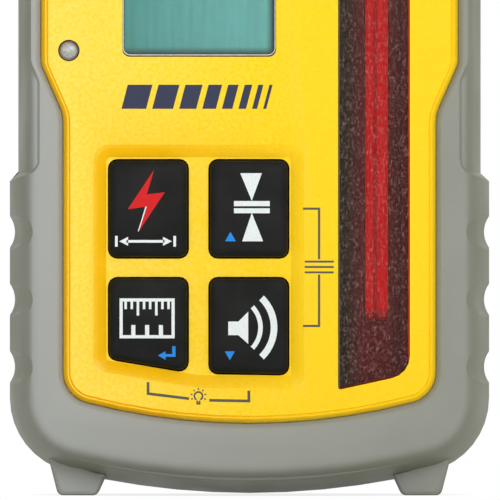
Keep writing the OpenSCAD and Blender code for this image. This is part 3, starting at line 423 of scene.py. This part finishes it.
shellYellow = yellowPlastic(yellowFinish)
overmouldGrey = greyRubber(greyFinish)
rubberBlack = keyRubber(keyFinish)
inks = {tone: printInk(tone.capitalize() + "Ink", inkFinish[tone], inkFinish["thin"])
        for tone in ("white", "red", "blue", "grey", "navy")}
glassTeal = displayGlass(displayFinish)
lensClear = clearLens(lensFinish)
filterRed = redFilter(windowFinish)
guideRed = lightGuide(guideFinish)
webRed = lightGuide(webFinish)
baffleDark = darkBaffle(baffleFinish)
plain = {key: evenFinish(*values) for key, values in otherFinishes.items()}
print("materials made")


def finishMesh(bm, name, material, body, smoothAngle=30.0):
    mesh = bpy.data.meshes.new(name)
    bm.to_mesh(mesh)
    bm.free()
    if "custom_normal" in mesh.attributes:
        mesh.attributes.remove(mesh.attributes["custom_normal"])
    mesh.materials.clear()
    mesh.materials.append(material)
    mesh.polygons.foreach_set("material_index", [0] * len(mesh.polygons))
    mesh.polygons.foreach_set("use_smooth", [True] * len(mesh.polygons))
    mesh.set_sharp_from_angle(angle=math.radians(smoothAngle))
    piece = bpy.data.objects.new(name, mesh)
    scene.collection.objects.link(piece)
    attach(piece, body)
    return piece


edgeBreak = {"segments": 2, "angle": 40.0}


def softenEdges(piece, width, settings):
    bevel = piece.modifiers.new("EdgeBreak", "BEVEL")
    bevel.width = width * mm
    bevel.segments = settings["segments"]
    bevel.limit_method = "ANGLE"
    bevel.angle_limit = math.radians(settings["angle"])
    bevel.miter_outer = "MITER_ARC"
    bevel.harden_normals = False


windowSide = [((14.0, -18.0, 16.0), (14.9, -16.2, 152.0), (-0.33, 0.0, 0.0)),
              ((14.0, -18.0, 16.0), (14.9, -16.2, 18.5), (0.0, 0.0, -0.15))]
paneSides = [((-20.0, -18.0, 69.0), (-18.4, -15.9, 106.0), (-0.28, 0.0, 0.0)),
             ((2.4, -18.0, 69.0), (4.1, -15.9, 106.0), (0.32, 0.0, 0.0)),
             ((-21.0, -18.0, 69.0), (5.0, -15.9, 71.0), (0.0, 0.0, -0.1))]
openingFit = {  # boxes of points and the step of each, in millimetres, to the openings as they look
    "front_housing": windowSide + paneSides,
    "photocell_window": windowSide,
    "front_display_lens": paneSides,
}


def fitOpenings(bm, moves):
    for low, high, step in moves:
        inside = [v for v in bm.verts if all(a * mm <= c <= b * mm for a, c, b in zip(low, v.co, high))]
        bmesh.ops.translate(bm, verts=inside, vec=Vector(step) * mm)


keyFit = {"keys": {"capture_key": 0.2, "deadband_key": 0.2, "units_key": 0.05, "volume_key": 0.05},
          "flange": 0.7, "inset": 0.2, "crown": -17.9, "shoulder": 0.4, "floor": -16.8,
          "field": (-23.2, 7.2, 17.5, 54.5), "brim": (-17.6, -17.3), "soft": 0.2, "reach": 2.0,
          "near": 0.05, "slack": 0.01, "level": 0.02}


def shrinkAbout(bm, points, centre, half, inset):
    scale = Matrix.Diagonal((1.0 - inset[0] * mm / half[0], 1.0, 1.0 - inset[1] * mm / half[1], 1.0))
    move = Matrix.Translation(centre) @ scale @ Matrix.Translation(-centre)
    bmesh.ops.transform(bm, matrix=move, verts=points)


def keyMiddle(key, fit):  # centre of a key and half its face
    low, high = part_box(key)
    centre, flange = (low + high) / 2, fit["flange"] * mm
    return centre, ((high.x - low.x) / 2 - flange, (high.z - low.z) / 2 - flange)


def tightenField(bm, fit):  # key openings and the field's floor close in on the keys
    left, right, low, high = (v * mm for v in fit["field"])
    near, slack = fit["near"] * mm, fit["slack"] * mm
    floor = [v for v in bm.verts if abs(v.co.y - fit["floor"] * mm) < near
             and left < v.co.x < right and low < v.co.z < high]
    for key in fit["keys"]:
        centre, half = keyMiddle(key, fit)
        rim = [v for v in floor if abs(v.co.x - centre.x) < half[0] + near
               and abs(v.co.z - centre.z) < half[1] + near]
        floor = [v for v in floor if v not in rim]
        shrinkAbout(bm, rim, centre, half, (fit["inset"], fit["keys"][key]))
    middle, half = Vector(((left + right) / 2, 0.0, (low + high) / 2)), ((right - left) / 2, (high - low) / 2)
    shrinkAbout(bm, floor, middle, half, (fit["inset"], fit["inset"]))
    top, foot = (v * mm for v in fit["brim"])
    for v in bm.verts:  # the brim's rounding starts further out and ends further in
        away = (abs(v.co.x - middle.x) - half[0], abs(v.co.z - middle.z) - half[1])
        if top - slack < v.co.y < foot + slack and max(away) < fit["reach"] * mm:
            inwards = fit["soft"] * (2 * (v.co.y - top) / (foot - top) - 1)
            shrinkAbout(bm, [v], middle, half, (inwards, inwards))


def tightenKey(bm, key, fit):
    centre, half = keyMiddle(key, fit)
    shrinkAbout(bm, bm.verts[:], centre, half, (fit["inset"], fit["keys"][key]))
    crown = [v for v in bm.verts if v.co.y < fit["crown"] * mm]
    shrinkAbout(bm, crown, centre, half, (fit["shoulder"], fit["shoulder"]))


def creaseFloor(mesh, fit):  # the field's wall meets its floor in a line
    level = [abs(v.co.y - fit["floor"] * mm) < fit["level"] * mm for v in mesh.vertices]
    for edge in mesh.edges:
        if level[edge.vertices[0]] and level[edge.vertices[1]]:
            edge.use_edge_sharp = True


meshClean = {"join": 0.002, "flat": 0.4}  # millimetres and degrees


def solidOf(node):
    bm = bmesh.new()
    bm.from_mesh(nodes[node].data)
    bmesh.ops.remove_doubles(bm, verts=bm.verts, dist=meshClean["join"] * mm)
    fitOpenings(bm, openingFit.get(node, []))
    return bm


def dressNode(node, name, material, slot, edge=0.0, smoothAngle=30.0):
    bm = solidOf(node)
    if node == "front_housing":
        tightenField(bm, keyFit)
    if node in keyFit["keys"]:
        tightenKey(bm, node, keyFit)
    bmesh.ops.dissolve_limit(bm, angle_limit=math.radians(meshClean["flat"]), verts=bm.verts, edges=bm.edges)
    piece = finishMesh(bm, name, material, nodes[node]["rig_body"], smoothAngle)
    if node == "front_housing":
        creaseFloor(piece.data, keyFit)
    if edge:
        softenEdges(piece, edge, edgeBreak)
    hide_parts(node)


dressing = {  # node: piece, finish, record slot, broken edge in millimetres, angle of sharp edges
    "front_housing": ("FrontShell", shellYellow, "yellow_shell", 0.0),
    "rear_housing": ("RearShell", shellYellow, "yellow_shell", 0.0),
    "battery_door": ("BatteryDoor", shellYellow, "yellow_shell", 0.12),
    "front_bumper": ("FrontOvermould", overmouldGrey, "grey_overmould", 0.0, 24.0),
    "rear_bumper": ("RearOvermould", overmouldGrey, "grey_overmould", 0.0, 24.0),
    "capture_key": ("CaptureKey", rubberBlack, "key_rubber", 0.0),
    "deadband_key": ("DeadbandKey", rubberBlack, "key_rubber", 0.0),
    "units_key": ("UnitsKey", rubberBlack, "key_rubber", 0.0),
    "volume_key": ("VolumeKey", rubberBlack, "key_rubber", 0.0),
    "power_key": ("PowerKey", rubberBlack, "key_rubber", 0.0),
    "front_display_lens": ("FrontDisplayLens", lensClear, "display_lens", 0.22),
    "rear_display_lens": ("RearDisplayLens", lensClear, "display_lens", 0.22),
    "front_display_panel": ("FrontDisplay", glassTeal, "display_glass", 0.1),
    "rear_display_panel": ("RearDisplay", glassTeal, "display_glass", 0.1),
    "photocell_window": ("PhotocellWindow", filterRed, "red_filter", 0.16),
    "light_guides": ("LightGuides", guideRed, "light_guide", 0.1),
    "photocell_baffle": ("PhotocellBaffle", baffleDark, "dark_plastic", 0.1),
    "housing_seal": ("HousingSeal", plain["sealRubber"], "seal_rubber", 0.0),
    "battery_door_seal": ("DoorSeal", plain["sealRubber"], "seal_rubber", 0.0),
    "keypad_mat": ("KeypadMat", rubberBlack, "key_rubber", 0.0),
    "housing_screws": ("HousingScrews", plain["screwSteel"], "screw_steel", 0.08),
    "board_screws": ("BoardScrews", plain["screwSteel"], "screw_steel", 0.0),
    "hinge_pin": ("HingePin", plain["screwSteel"], "screw_steel", 0.1),
    "clamp_insert": ("ClampInsert", plain["insertBrass"], "insert_brass", 0.15),
    "battery_contacts": ("BatteryContacts", plain["contactSteel"], "contact_steel", 0.08),
    "battery_springs": ("BatterySprings", plain["contactSteel"], "contact_steel", 0.0),
    "sound_membrane": ("SoundMembrane", plain["membrane"], "membrane", 0.0),
    "front_backlight": ("FrontBacklight", plain["backlightWhite"], "backlight_white", 0.0),
    "rear_display_board": ("RearDisplayBoard", plain["boardGreen"], "board_green", 0.0),
    "main_board": ("MainBoard", plain["boardGreen"], "board_green", 0.0),
    "photocell_board": ("PhotocellBoard", plain["boardGreen"], "board_green", 0.0),
    "display_ribbon": ("DisplayRibbon", plain["ribbonAmber"], "ribbon_amber", 0.0),
    "controller_chip": ("ControllerChip", plain["bayPlastic"], "dark_plastic", 0.1),
    "board_link": ("BoardLink", plain["bayPlastic"], "dark_plastic", 0.1),
    "buzzer": ("Buzzer", plain["bayPlastic"], "dark_plastic", 0.1),
    "photodiodes": ("Photodiodes", plain["bayPlastic"], "dark_plastic", 0.0),
    "strobe_sensor": ("StrobeSensor", plain["bayPlastic"], "dark_plastic", 0.0),
    "key_domes": ("KeyDomes", plain["contactSteel"], "contact_steel", 0.0),
}
for node, settings in dressing.items():
    dressNode(node, *settings)
print("dressed", len(dressing), "nodes")

strobeFinish = {"colour": (0.33, 0.34, 0.33), "pale": (0.50, 0.51, 0.49), "deep": (0.020, 0.013, 0.008),
                "hole_shade_span": (-17.0, -16.8), "gloss": 0.24}


def frostedLens(finish):
    material, tree, shader, coords = newMaterial("StrobeLens", Roughness=finish["gloss"])
    frost = noiseOf(tree, coords, 2600.0, 3.0)
    sunk = between(tree, placeOf(tree, coords)["Y"], finish["hole_shade_span"])  # painted shade on the part down in its hole
    tint = blendOf(tree, spread(tree, frost, 0.35, 0.65), finish["colour"], finish["pale"])
    tree.links.new(blendOf(tree, sunk, tint, finish["deep"]), shader.inputs["Base Color"])
    roughen(tree, shader, [(frost, 0.2, 0.04)])
    return material


dressNode("strobe_lens", "StrobeLens", frostedLens(strobeFinish), "strobe_clear")

gasketFilm = {"wide": 1.2, "thick": 0.02, "back": 0.008, "facing": 0.99, "turn": (15.5, 19.5),
              "west": (0.016, 0.014, 0.011), "east": (0.115, 0.020, 0.018)}


def gasketTape(film):  # dark tape, red where the guides shine on it
    material, tree, shader, coords = newMaterial("GasketTape", Roughness=0.6, Specular_IOR_Level=0.1)
    tint = blendOf(tree, between(tree, placeOf(tree, coords)["X"], film["turn"]), film["west"], film["east"])
    tree.links.new(tint, shader.inputs["Base Color"])
    roughen(tree, shader, [(noiseOf(tree, coords, 3000.0), 0.08, 0.02)])
    return material


def ringOf(bm, wide):  # leaves a border of each flat face
    middle = bm.faces[:]
    bmesh.ops.inset_individual(bm, faces=middle, thickness=wide * mm, use_even_offset=True)
    bmesh.ops.delete(bm, geom=middle, context="FACES")


def thicken(bm, deep):  # gives flat faces a thickness towards the back
    lifted = bmesh.ops.extrude_face_region(bm, geom=bm.faces[:])
    points = [v for v in lifted["geom"] if isinstance(v, bmesh.types.BMVert)]
    bmesh.ops.translate(bm, verts=points, vec=(0, deep * mm, 0))
    bmesh.ops.recalc_face_normals(bm, faces=bm.faces)


def windowGasket(film):  # tape between the red filter and its ledge
    bm = solidOf("photocell_window")
    bm.normal_update()
    bmesh.ops.delete(bm, geom=[f for f in bm.faces if f.normal.y < film["facing"]], context="FACES")
    bmesh.ops.dissolve_faces(bm, faces=bm.faces[:])
    ringOf(bm, film["wide"])
    bmesh.ops.translate(bm, verts=bm.verts, vec=(0, film["back"] * mm, 0))
    thicken(bm, film["thick"])
    finishMesh(bm, "WindowGasket", gasketTape(film), "receiver")


windowGasket(gasketFilm)

guideWeb = {"sunk": 0.24, "thick": 0.3, "middle": 19.82, "wide": 0.64, "short": 0.4, "edge": 0.04}


def webStrip(web):  # moulded web that joins the two guides
    low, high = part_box("light_guides")
    deep = low.y + (web["sunk"] + web["thick"] / 2) * mm
    centre = Vector((web["middle"] * mm, deep, (low.z + high.z) / 2))
    size = Matrix.Diagonal((web["wide"] * mm, web["thick"] * mm, high.z - low.z - web["short"] * mm, 1.0))
    bm = bmesh.new()
    bmesh.ops.create_cube(bm, size=1.0, matrix=Matrix.Translation(centre) @ size)
    bmesh.ops.bevel(bm, geom=bm.edges[:], offset=web["edge"] * mm, segments=2, profile=0.5,
                    affect="EDGES", material=-1)
    finishMesh(bm, "GuideWeb", webRed, "receiver")


webStrip(guideWeb)

cellFinish = {"sleeve": (0.36, 0.38, 0.39), "band": (0.055, 0.075, 0.095), "steel": (0.62, 0.62, 0.60),
              "split": (26.5, 26.6)}


def cellSleeve(finish):
    material, tree, shader, coords = newMaterial("CellSleeve", Roughness=0.32)
    wear = noiseOf(tree, coords, 500.0, 3.0)
    above = between(tree, placeOf(tree, coords)["Z"], finish["split"])
    tint = blendOf(tree, above, finish["band"], finish["sleeve"])
    tint = blendOf(tree, spread(tree, wear, 0.55, 0.8, (0.0, 0.25)), tint, finish["steel"])
    tree.links.new(tint, shader.inputs["Base Color"])
    roughen(tree, shader, [(wear, 0.04, 0.04)])
    return material


dressNode("battery_cells", "BatteryCells", cellSleeve(cellFinish), "cell_can", 0.25)

keyFace = -18.0
panelFace = -17.6
inkLift = 0.012  # stands proud of its face
keyInk = keyFace - inkLift
panelInk = panelFace - inkLift
inkDeep = 0.03
arcStep = {"fewest": 12, "degrees": 6}


def inkPiece(name, ink, body, level, outlines=(), arcs=()):
    bm = bmesh.new()
    for outline in outlines:
        corners = [bm.verts.new((x * mm, level * mm, z * mm)) for x, z in outline]
        bm.faces.new(corners)
    for centre, radius, thick, start, sweep in arcs:
        middle = Vector((centre[0] * mm, level * mm, centre[1] * mm))
        along = Vector((math.cos(math.radians(start)), 0, math.sin(math.radians(start))))
        ends = [bm.verts.new(middle + along * r * mm) for r in (radius - thick, radius)]
        edge = bm.edges.new(ends)
        steps = max(arcStep["fewest"], int(sweep / arcStep["degrees"]))
        bmesh.ops.spin(bm, geom=[edge] + ends, cent=middle, axis=(0, -1, 0), angle=math.radians(sweep),
                       steps=steps, use_merge=sweep >= 360)
    thicken(bm, inkDeep)
    piece = finishMesh(bm, name, inks[ink], body)


def bar(x0, z0, x1, z1, wide):
    run = Vector((x1 - x0, z1 - z0)).normalized() * wide / 2
    return [(x0 - run.y, z0 + run.x), (x0 + run.y, z0 - run.x),
            (x1 + run.y, z1 - run.x), (x1 - run.y, z1 + run.x)]


captureMark = {"bolt": [(-15.05, 51.5), (-16.2, 47.6), (-13.35, 47.95), (-17.45, 41.8), (-16.2, 45.7),
                        (-19.2, 45.25)],
               "edge": [(-16.2, 45.7), (-16.42, 45.67), (-17.62, 41.75), (-17.45, 41.8)],
               "span": (-21.0, -11.8), "line": 40.2, "weight": 0.42, "post": 0.85, "shaft": 1.6,
               "tip": 0.45, "head": 1.85, "barb": 0.7}


def captureIcon(mark):  # a bolt over a line with an arrow and a post at each end
    inkPiece("CaptureBolt", "red", "capture_key", keyInk, [mark["bolt"]])
    left, right = mark["span"]
    z, w = mark["line"], mark["weight"]
    tip, head, barb = mark["tip"], mark["head"], mark["barb"]
    posts = [bar(x, z - mark["post"], x, z + mark["post"], w) for x in (left, right)]
    shaft = bar(left + mark["shaft"], z, right - mark["shaft"], z, w)
    heads = [[(left + tip, z), (left + head, z + barb), (left + head, z - barb)],
             [(right - tip, z), (right - head, z + barb), (right - head, z - barb)]]
    inkPiece("CaptureSpan", "white", "capture_key", keyInk, [mark["edge"]] + posts + [shaft] + heads)


captureIcon(captureMark)

deadbandMark = {"upper": [(-1.45, 50.95), (1.95, 50.95), (0.36, 46.6)],
                "lower": [(-1.15, 40.2), (2.15, 40.2), (0.36, 44.7)],
                "bars": [(-2.45, 46.15, 3.2, 46.15, 0.82), (-2.45, 45.02, 3.2, 45.02, 0.78)],
                "arrow": [(-3.85, 40.2), (-2.15, 40.2), (-3.0, 41.7)]}
inkPiece("DeadbandSign", "white", "deadband_key", keyInk,
         [deadbandMark["upper"], deadbandMark["lower"]] + [bar(*b) for b in deadbandMark["bars"]])
inkPiece("DeadbandArrow", "blue", "deadband_key", keyInk, [deadbandMark["arrow"]])

volumeMark = {"horn": [(-3.35, 27.55), (-1.75, 27.55), (-0.2, 29.1), (-0.2, 24.0), (-1.75, 25.4),
                       (-3.35, 25.4)],
              "waves": [((-3.03, 26.6), 5.13, 0.72, -43.0, 86.0), ((-2.6, 26.6), 7.0, 1.05, -46.0, 92.0)],
              "arrow": [(-3.9, 22.85), (-2.3, 22.85), (-3.1, 21.45)]}
inkPiece("VolumeSign", "white", "volume_key", keyInk, [volumeMark["horn"]], volumeMark["waves"])
inkPiece("VolumeArrow", "blue", "volume_key", keyInk, [volumeMark["arrow"]])

unitsMark = {"span": (-20.5, -11.8), "level": (24.9, 31.2), "weight": 0.5, "gap": 0.01,
             "fine": {"count": 9, "every": 3, "long": 2.7, "short": 1.7, "weight": 0.8},
             "coarse": {"count": 4, "long": 2.1, "weight": 1.3},
             "arrow": [(-14.45, 22.2), (-13.25, 22.85), (-13.25, 22.43), (-12.2, 22.43), (-12.2, 23.65),
                       (-11.67, 23.65), (-11.67, 21.98), (-13.25, 21.98), (-13.25, 21.52)]}


def unitsIcon(mark):  # a rule with a fine scale above and a coarse one below
    w, fine, coarse = mark["weight"], mark["fine"], mark["coarse"]
    (left, right), (low, high) = mark["span"], mark["level"]
    foot, top = low + w + mark["gap"], high - w - mark["gap"]
    ticks = [bar(left, z, right, z, w) for z in (low + w / 2, high - w / 2)]
    ticks += [bar(x, foot, x, top, w) for x in (left + w / 2, right - w / 2)]
    for i in range(1, fine["count"]):
        x = left + (right - left) * i / fine["count"]
        reach = fine["long"] if i % fine["every"] == 0 else fine["short"]
        ticks.append(bar(x, high - w, x, high - reach, w * fine["weight"]))
    for i in range(1, coarse["count"]):
        x = left + (right - left) * i / coarse["count"]
        ticks.append(bar(x, low + w, x, low + coarse["long"], w * coarse["weight"]))
    inkPiece("UnitsScales", "white", "units_key", keyInk, ticks)
    inkPiece("UnitsArrow", "blue", "units_key", keyInk, [mark["arrow"]])


unitsIcon(unitsMark)

powerMark = {"centre": (-15.95, 118.0), "radius": 2.2, "weight": 0.62, "stem": (0.5, 2.9),
             "arc": (125.0, 290.0)}


def powerIcon(mark):
    (x, z), (low, high) = mark["centre"], mark["stem"]
    stem = bar(x, z + low, x, z + high, mark["weight"])
    ring = (mark["centre"], mark["radius"], mark["weight"], *mark["arc"])
    inkPiece("PowerSign", "white", "power_key", keyInk, [stem], [ring])


powerIcon(powerMark)

panelMarks = {"side": 0.36, "low": 0.44, "list": 0.32,
              "sideLines": [(8.45, 45.35, 11.16, 45.35), (10.98, 45.16, 10.98, 37.35),
                            (10.98, 34.95, 10.98, 27.04), (8.45, 26.85, 11.16, 26.85)],
              "lowLines": [(-16.0, 18.0, -16.0, 16.4), (-16.22, 16.2, -9.55, 15.38),
                           (-6.35, 15.12, 0.12, 15.0), (-0.1, 15.22, -0.1, 16.65)],
              "listLines": [(8.7, 37.0, 13.3, 37.0), (8.7, 36.15, 13.3, 36.15), (8.7, 35.3, 13.3, 35.3)],
              "bulb": {"centre": (-8.05, 15.78), "radius": 0.78, "line": 0.28, "arc": (-62.0, 304.0),
                       "ray": (0.96, 1.26), "rays": 7, "first": -24, "turn": 38, "rayLine": 0.22,
                       "neck": 0.32, "stem": (0.06, -0.3), "base": 0.42}}


def bulbLines(bulb):
    (x, z), (near, far) = bulb["centre"], bulb["ray"]
    lines = []
    for i in range(bulb["rays"]):
        angle = math.radians(bulb["first"] + bulb["turn"] * i)
        across, up = math.cos(angle), math.sin(angle)
        lines.append(bar(x + near * across, z + near * up, x + far * across, z + far * up, bulb["rayLine"]))
    low, side = z - bulb["radius"], bulb["neck"] - bulb["line"] / 2
    top, foot = (low + v for v in bulb["stem"])
    lines += [bar(x + side * k, top, x + side * k, foot, bulb["line"]) for k in (-1, 1)]
    base = low - bulb["base"]
    lines.append(bar(x - bulb["neck"], base, x + bulb["neck"], base, bulb["line"]))
    return lines


def panelPrint(marks):
    lines = [bar(*line, marks[group]) for group in ("side", "low", "list") for line in marks[group + "Lines"]]
    bulb = marks["bulb"]
    ring = (bulb["centre"], bulb["radius"], bulb["line"], *bulb["arc"])
    inkPiece("PanelPrint", "grey", "receiver", panelInk, lines + bulbLines(bulb), [ring])


panelPrint(panelMarks)

signalPlace = {"left": -20.2, "low": 61.1, "high": 64.9, "lean": 1.0, "gap": 0.95,
               "widths": [3.9, 3.3, 2.7, 2.15, 1.65, 1.2, 0.8, 0.5]}


def signalBars(place):  # plain slanted bars that get narrower
    x, outlines = place["left"], []
    low, high, lean = place["low"], place["high"], place["lean"]
    for wide in place["widths"]:
        outlines.append([(x, low), (x + wide, low), (x + wide + lean, high), (x + lean, high)])
        x += wide + place["gap"]
    inkPiece("SignalBars", "navy", "receiver", panelInk, outlines)


signalBars(signalPlace)
print("marks printed")

filmFinish = {"border": (0.045, 0.06, 0.075), "streak": 0.06, "corner": 1.1, "steps": 6,
              "brush": {"stretch": (1100.0, 1100.0, 70.0), "dim": 0.85, "limits": (0.32, 0.7)}}


def filmGlass(name, box, borders):  # display colours that darken towards the borders: a printed mask, and painted shade from the pane's edges
    material, tree, shader, coords = newMaterial(name + "Glass", Roughness=0.42, Specular_IOR_Level=0.1)
    place = placeOf(tree, coords)
    x0, z0, x1, z1 = (v * mm for v in box)
    across = spread(tree, place["X"], x0, x1)
    grain, tint = polariser(tree, coords, across, displayFinish, filmFinish["brush"])
    left, right, low, high = [(start * mm, stop * mm) for start, stop in borders]
    for axis, start, stop in (("X", x0 + left[0], x0 + left[1]), ("X", x1 - right[0], x1 - right[1]),
                              ("Z", z0 + low[0], z0 + low[1]), ("Z", z1 - high[0], z1 - high[1])):
        tint = blendOf(tree, spread(tree, place[axis], start, stop), filmFinish["border"], tint)
    tree.links.new(tint, shader.inputs["Base Color"])
    roughen(tree, shader, [(grain, filmFinish["streak"], 0.02)])
    return material


def paneFilm(name, box, level, thick, borders):
    x0, z0, x1, z1 = (v * mm for v in box)
    middle = Matrix.Translation(((x0 + x1) / 2, level * mm, (z0 + z1) / 2))
    bm = bmesh.new()
    bmesh.ops.create_cube(bm, size=1.0, matrix=middle @ Matrix.Diagonal((x1 - x0, thick * mm, z1 - z0, 1.0)))
    through = [e for e in bm.edges if abs(e.verts[0].co.y - e.verts[1].co.y) > thick * mm / 2]
    bmesh.ops.bevel(bm, geom=through, offset=filmFinish["corner"] * mm, segments=filmFinish["steps"],
                    profile=0.5, affect="EDGES", material=-1)
    finishMesh(bm, name, filmGlass(name, box, borders), "receiver")


# the wide bands at the right and the bottom are painted shade
frontFilm = {"box": (-20.04, 69.34, 4.18, 105.35), "level": -16.015, "thick": 0.02,
             "borders": [(0.1, 0.45), (0.4, 1.5), (0.45, 1.6), (0.1, 0.7)]}  # left, right, low, high
rearFilm = {"box": (-11.65, 97.2, 11.65, 130.1), "level": 16.415, "thick": 0.02, "borders": [(0.2, 0.8)] * 4}
paneFilm("FrontDisplayFilm", **frontFilm)
paneFilm("RearDisplayFilm", **rearFilm)

lensRim = {"box": (-20.0, 69.54, 4.1, 105.3), "corner": 1.2, "steps": 6, "wide": 0.13, "level": -17.44,
           "deep": 0.06, "pale": (0.58, 0.60, 0.52), "bright": (0.78, 0.80, 0.72)}


def paneEdge(rim):  # a pale ring round the clear pane: painted highlight on its polished edge
    x0, z0, x1, z1 = (v * mm for v in rim["box"])
    middle = Matrix.Translation(((x0 + x1) / 2, rim["level"] * mm, (z0 + z1) / 2))
    size = Matrix.Diagonal((x1 - x0, 1.0, z1 - z0, 1.0))
    bm = bmesh.new()
    bmesh.ops.create_grid(bm, x_segments=1, y_segments=1, size=0.5,
                          matrix=middle @ size @ Matrix.Rotation(math.pi / 2, 4, "X"))
    bmesh.ops.bevel(bm, geom=bm.verts[:], offset=rim["corner"] * mm, segments=rim["steps"], profile=0.5,
                    affect="VERTICES", material=-1)
    ringOf(bm, rim["wide"])
    thicken(bm, rim["deep"])
    edge_highlight = evenFinish("PaintedEdgeHighlight", rim["pale"], rim["bright"], 0.2, 1500.0, 0.03)
    finishMesh(bm, "FrontPaneEdge", edge_highlight, "receiver")


paneEdge(lensRim)
print("display films laid")

stageLook = {"floor": 8.0, "colour": (0.86, 0.86, 0.86, 1.0), "gloss": 0.9, "shade": 0.8, "reach": 0.006}


def whiteRays(tree):  # camera, gloss and glass all see the white background
    path = addNode(tree, "LightPath")
    total = path.outputs["Is Camera Ray"]
    for kind in ("Is Glossy Ray", "Is Transmission Ray"):
        total = mathOf(tree, "MAXIMUM", total, path.outputs[kind])
    return total


def floorWhite(look):  # white with a faint shadow where the part stands
    material, tree, shader = newMaterial("PaleFloor", Base_Color=look["colour"], Roughness=look["gloss"])[:3]
    occlusion = addNode(tree, "AmbientOcclusion", Distance=look["reach"])
    shadow = spread(tree, occlusion.outputs["AO"], 0.0, 1.0, (look["shade"], 1.0))
    white = addNode(tree, "Emission")
    tree.links.new(shadow, white.inputs["Strength"])
    mix = addNode(tree, "MixShader")
    tree.links.new(whiteRays(tree), mix.inputs["Fac"])
    tree.links.new(shader.outputs["BSDF"], mix.inputs[1])
    tree.links.new(white.outputs["Emission"], mix.inputs[2])
    tree.links.new(mix.outputs["Shader"], tree.nodes["Material Output"].inputs["Surface"])
    return material


def layFloor(look):
    bm = bmesh.new()
    bmesh.ops.create_grid(bm, x_segments=1, y_segments=1, size=look["floor"])
    mesh = bpy.data.meshes.new("Floor")
    bm.to_mesh(mesh)
    bm.free()
    mesh.materials.append(floorWhite(look))
    floor = bpy.data.objects.new("Floor", mesh)
    scene.collection.objects.link(floor)


layFloor(stageLook)

skyLook = {"colour": (1.0, 1.0, 1.0, 1.0), "fill": 0.31}


def whiteSky(look):
    world = bpy.data.worlds.new("WhiteStudio")
    scene.world = world
    world.use_nodes = True
    tree = world.node_tree
    background = tree.nodes["Background"]
    background.inputs["Color"].default_value = look["colour"]
    strength = spread(tree, whiteRays(tree), 0.0, 1.0, (look["fill"], 1.0))
    tree.links.new(strength, background.inputs["Strength"])


whiteSky(skyLook)

lamps = {  # places, aims and sizes in metres, power in watts
    "SheenBox": {"place": (-0.07, -0.27, 0.11), "aim": (-0.02, -0.018, 0.05), "size": (0.06, 0.16),
                 "power": 0.16},
    "FrontBox": {"place": (0.50, -1.35, 0.50), "aim": (0.0, 0.0, 0.06), "size": (0.6, 0.6), "power": 9.4},
    "BackBoxLeft": {"place": (-0.35, 1.0, 1.2), "aim": (0.0, 0.0, 0.08), "size": (0.6, 0.6), "power": 7.0},
    "BackBoxRight": {"place": (0.35, 1.0, 1.2), "aim": (0.0, 0.0, 0.08), "size": (0.6, 0.6), "power": 7.0},
}


def hangLamp(name, lamp):
    light = bpy.data.lights.new(name, "AREA")
    light.shape = "RECTANGLE"
    light.size, light.size_y = lamp["size"]
    light.energy = lamp["power"]
    box = bpy.data.objects.new(name, light)
    box.location = lamp["place"]
    box.rotation_mode = "QUATERNION"
    box.rotation_quaternion = (Vector(lamp["aim"]) - Vector(lamp["place"])).to_track_quat("-Z", "Y")
    box.visible_camera = False
    scene.collection.objects.link(box)


for name, lamp in lamps.items():
    hangLamp(name, lamp)
print("stage lit")
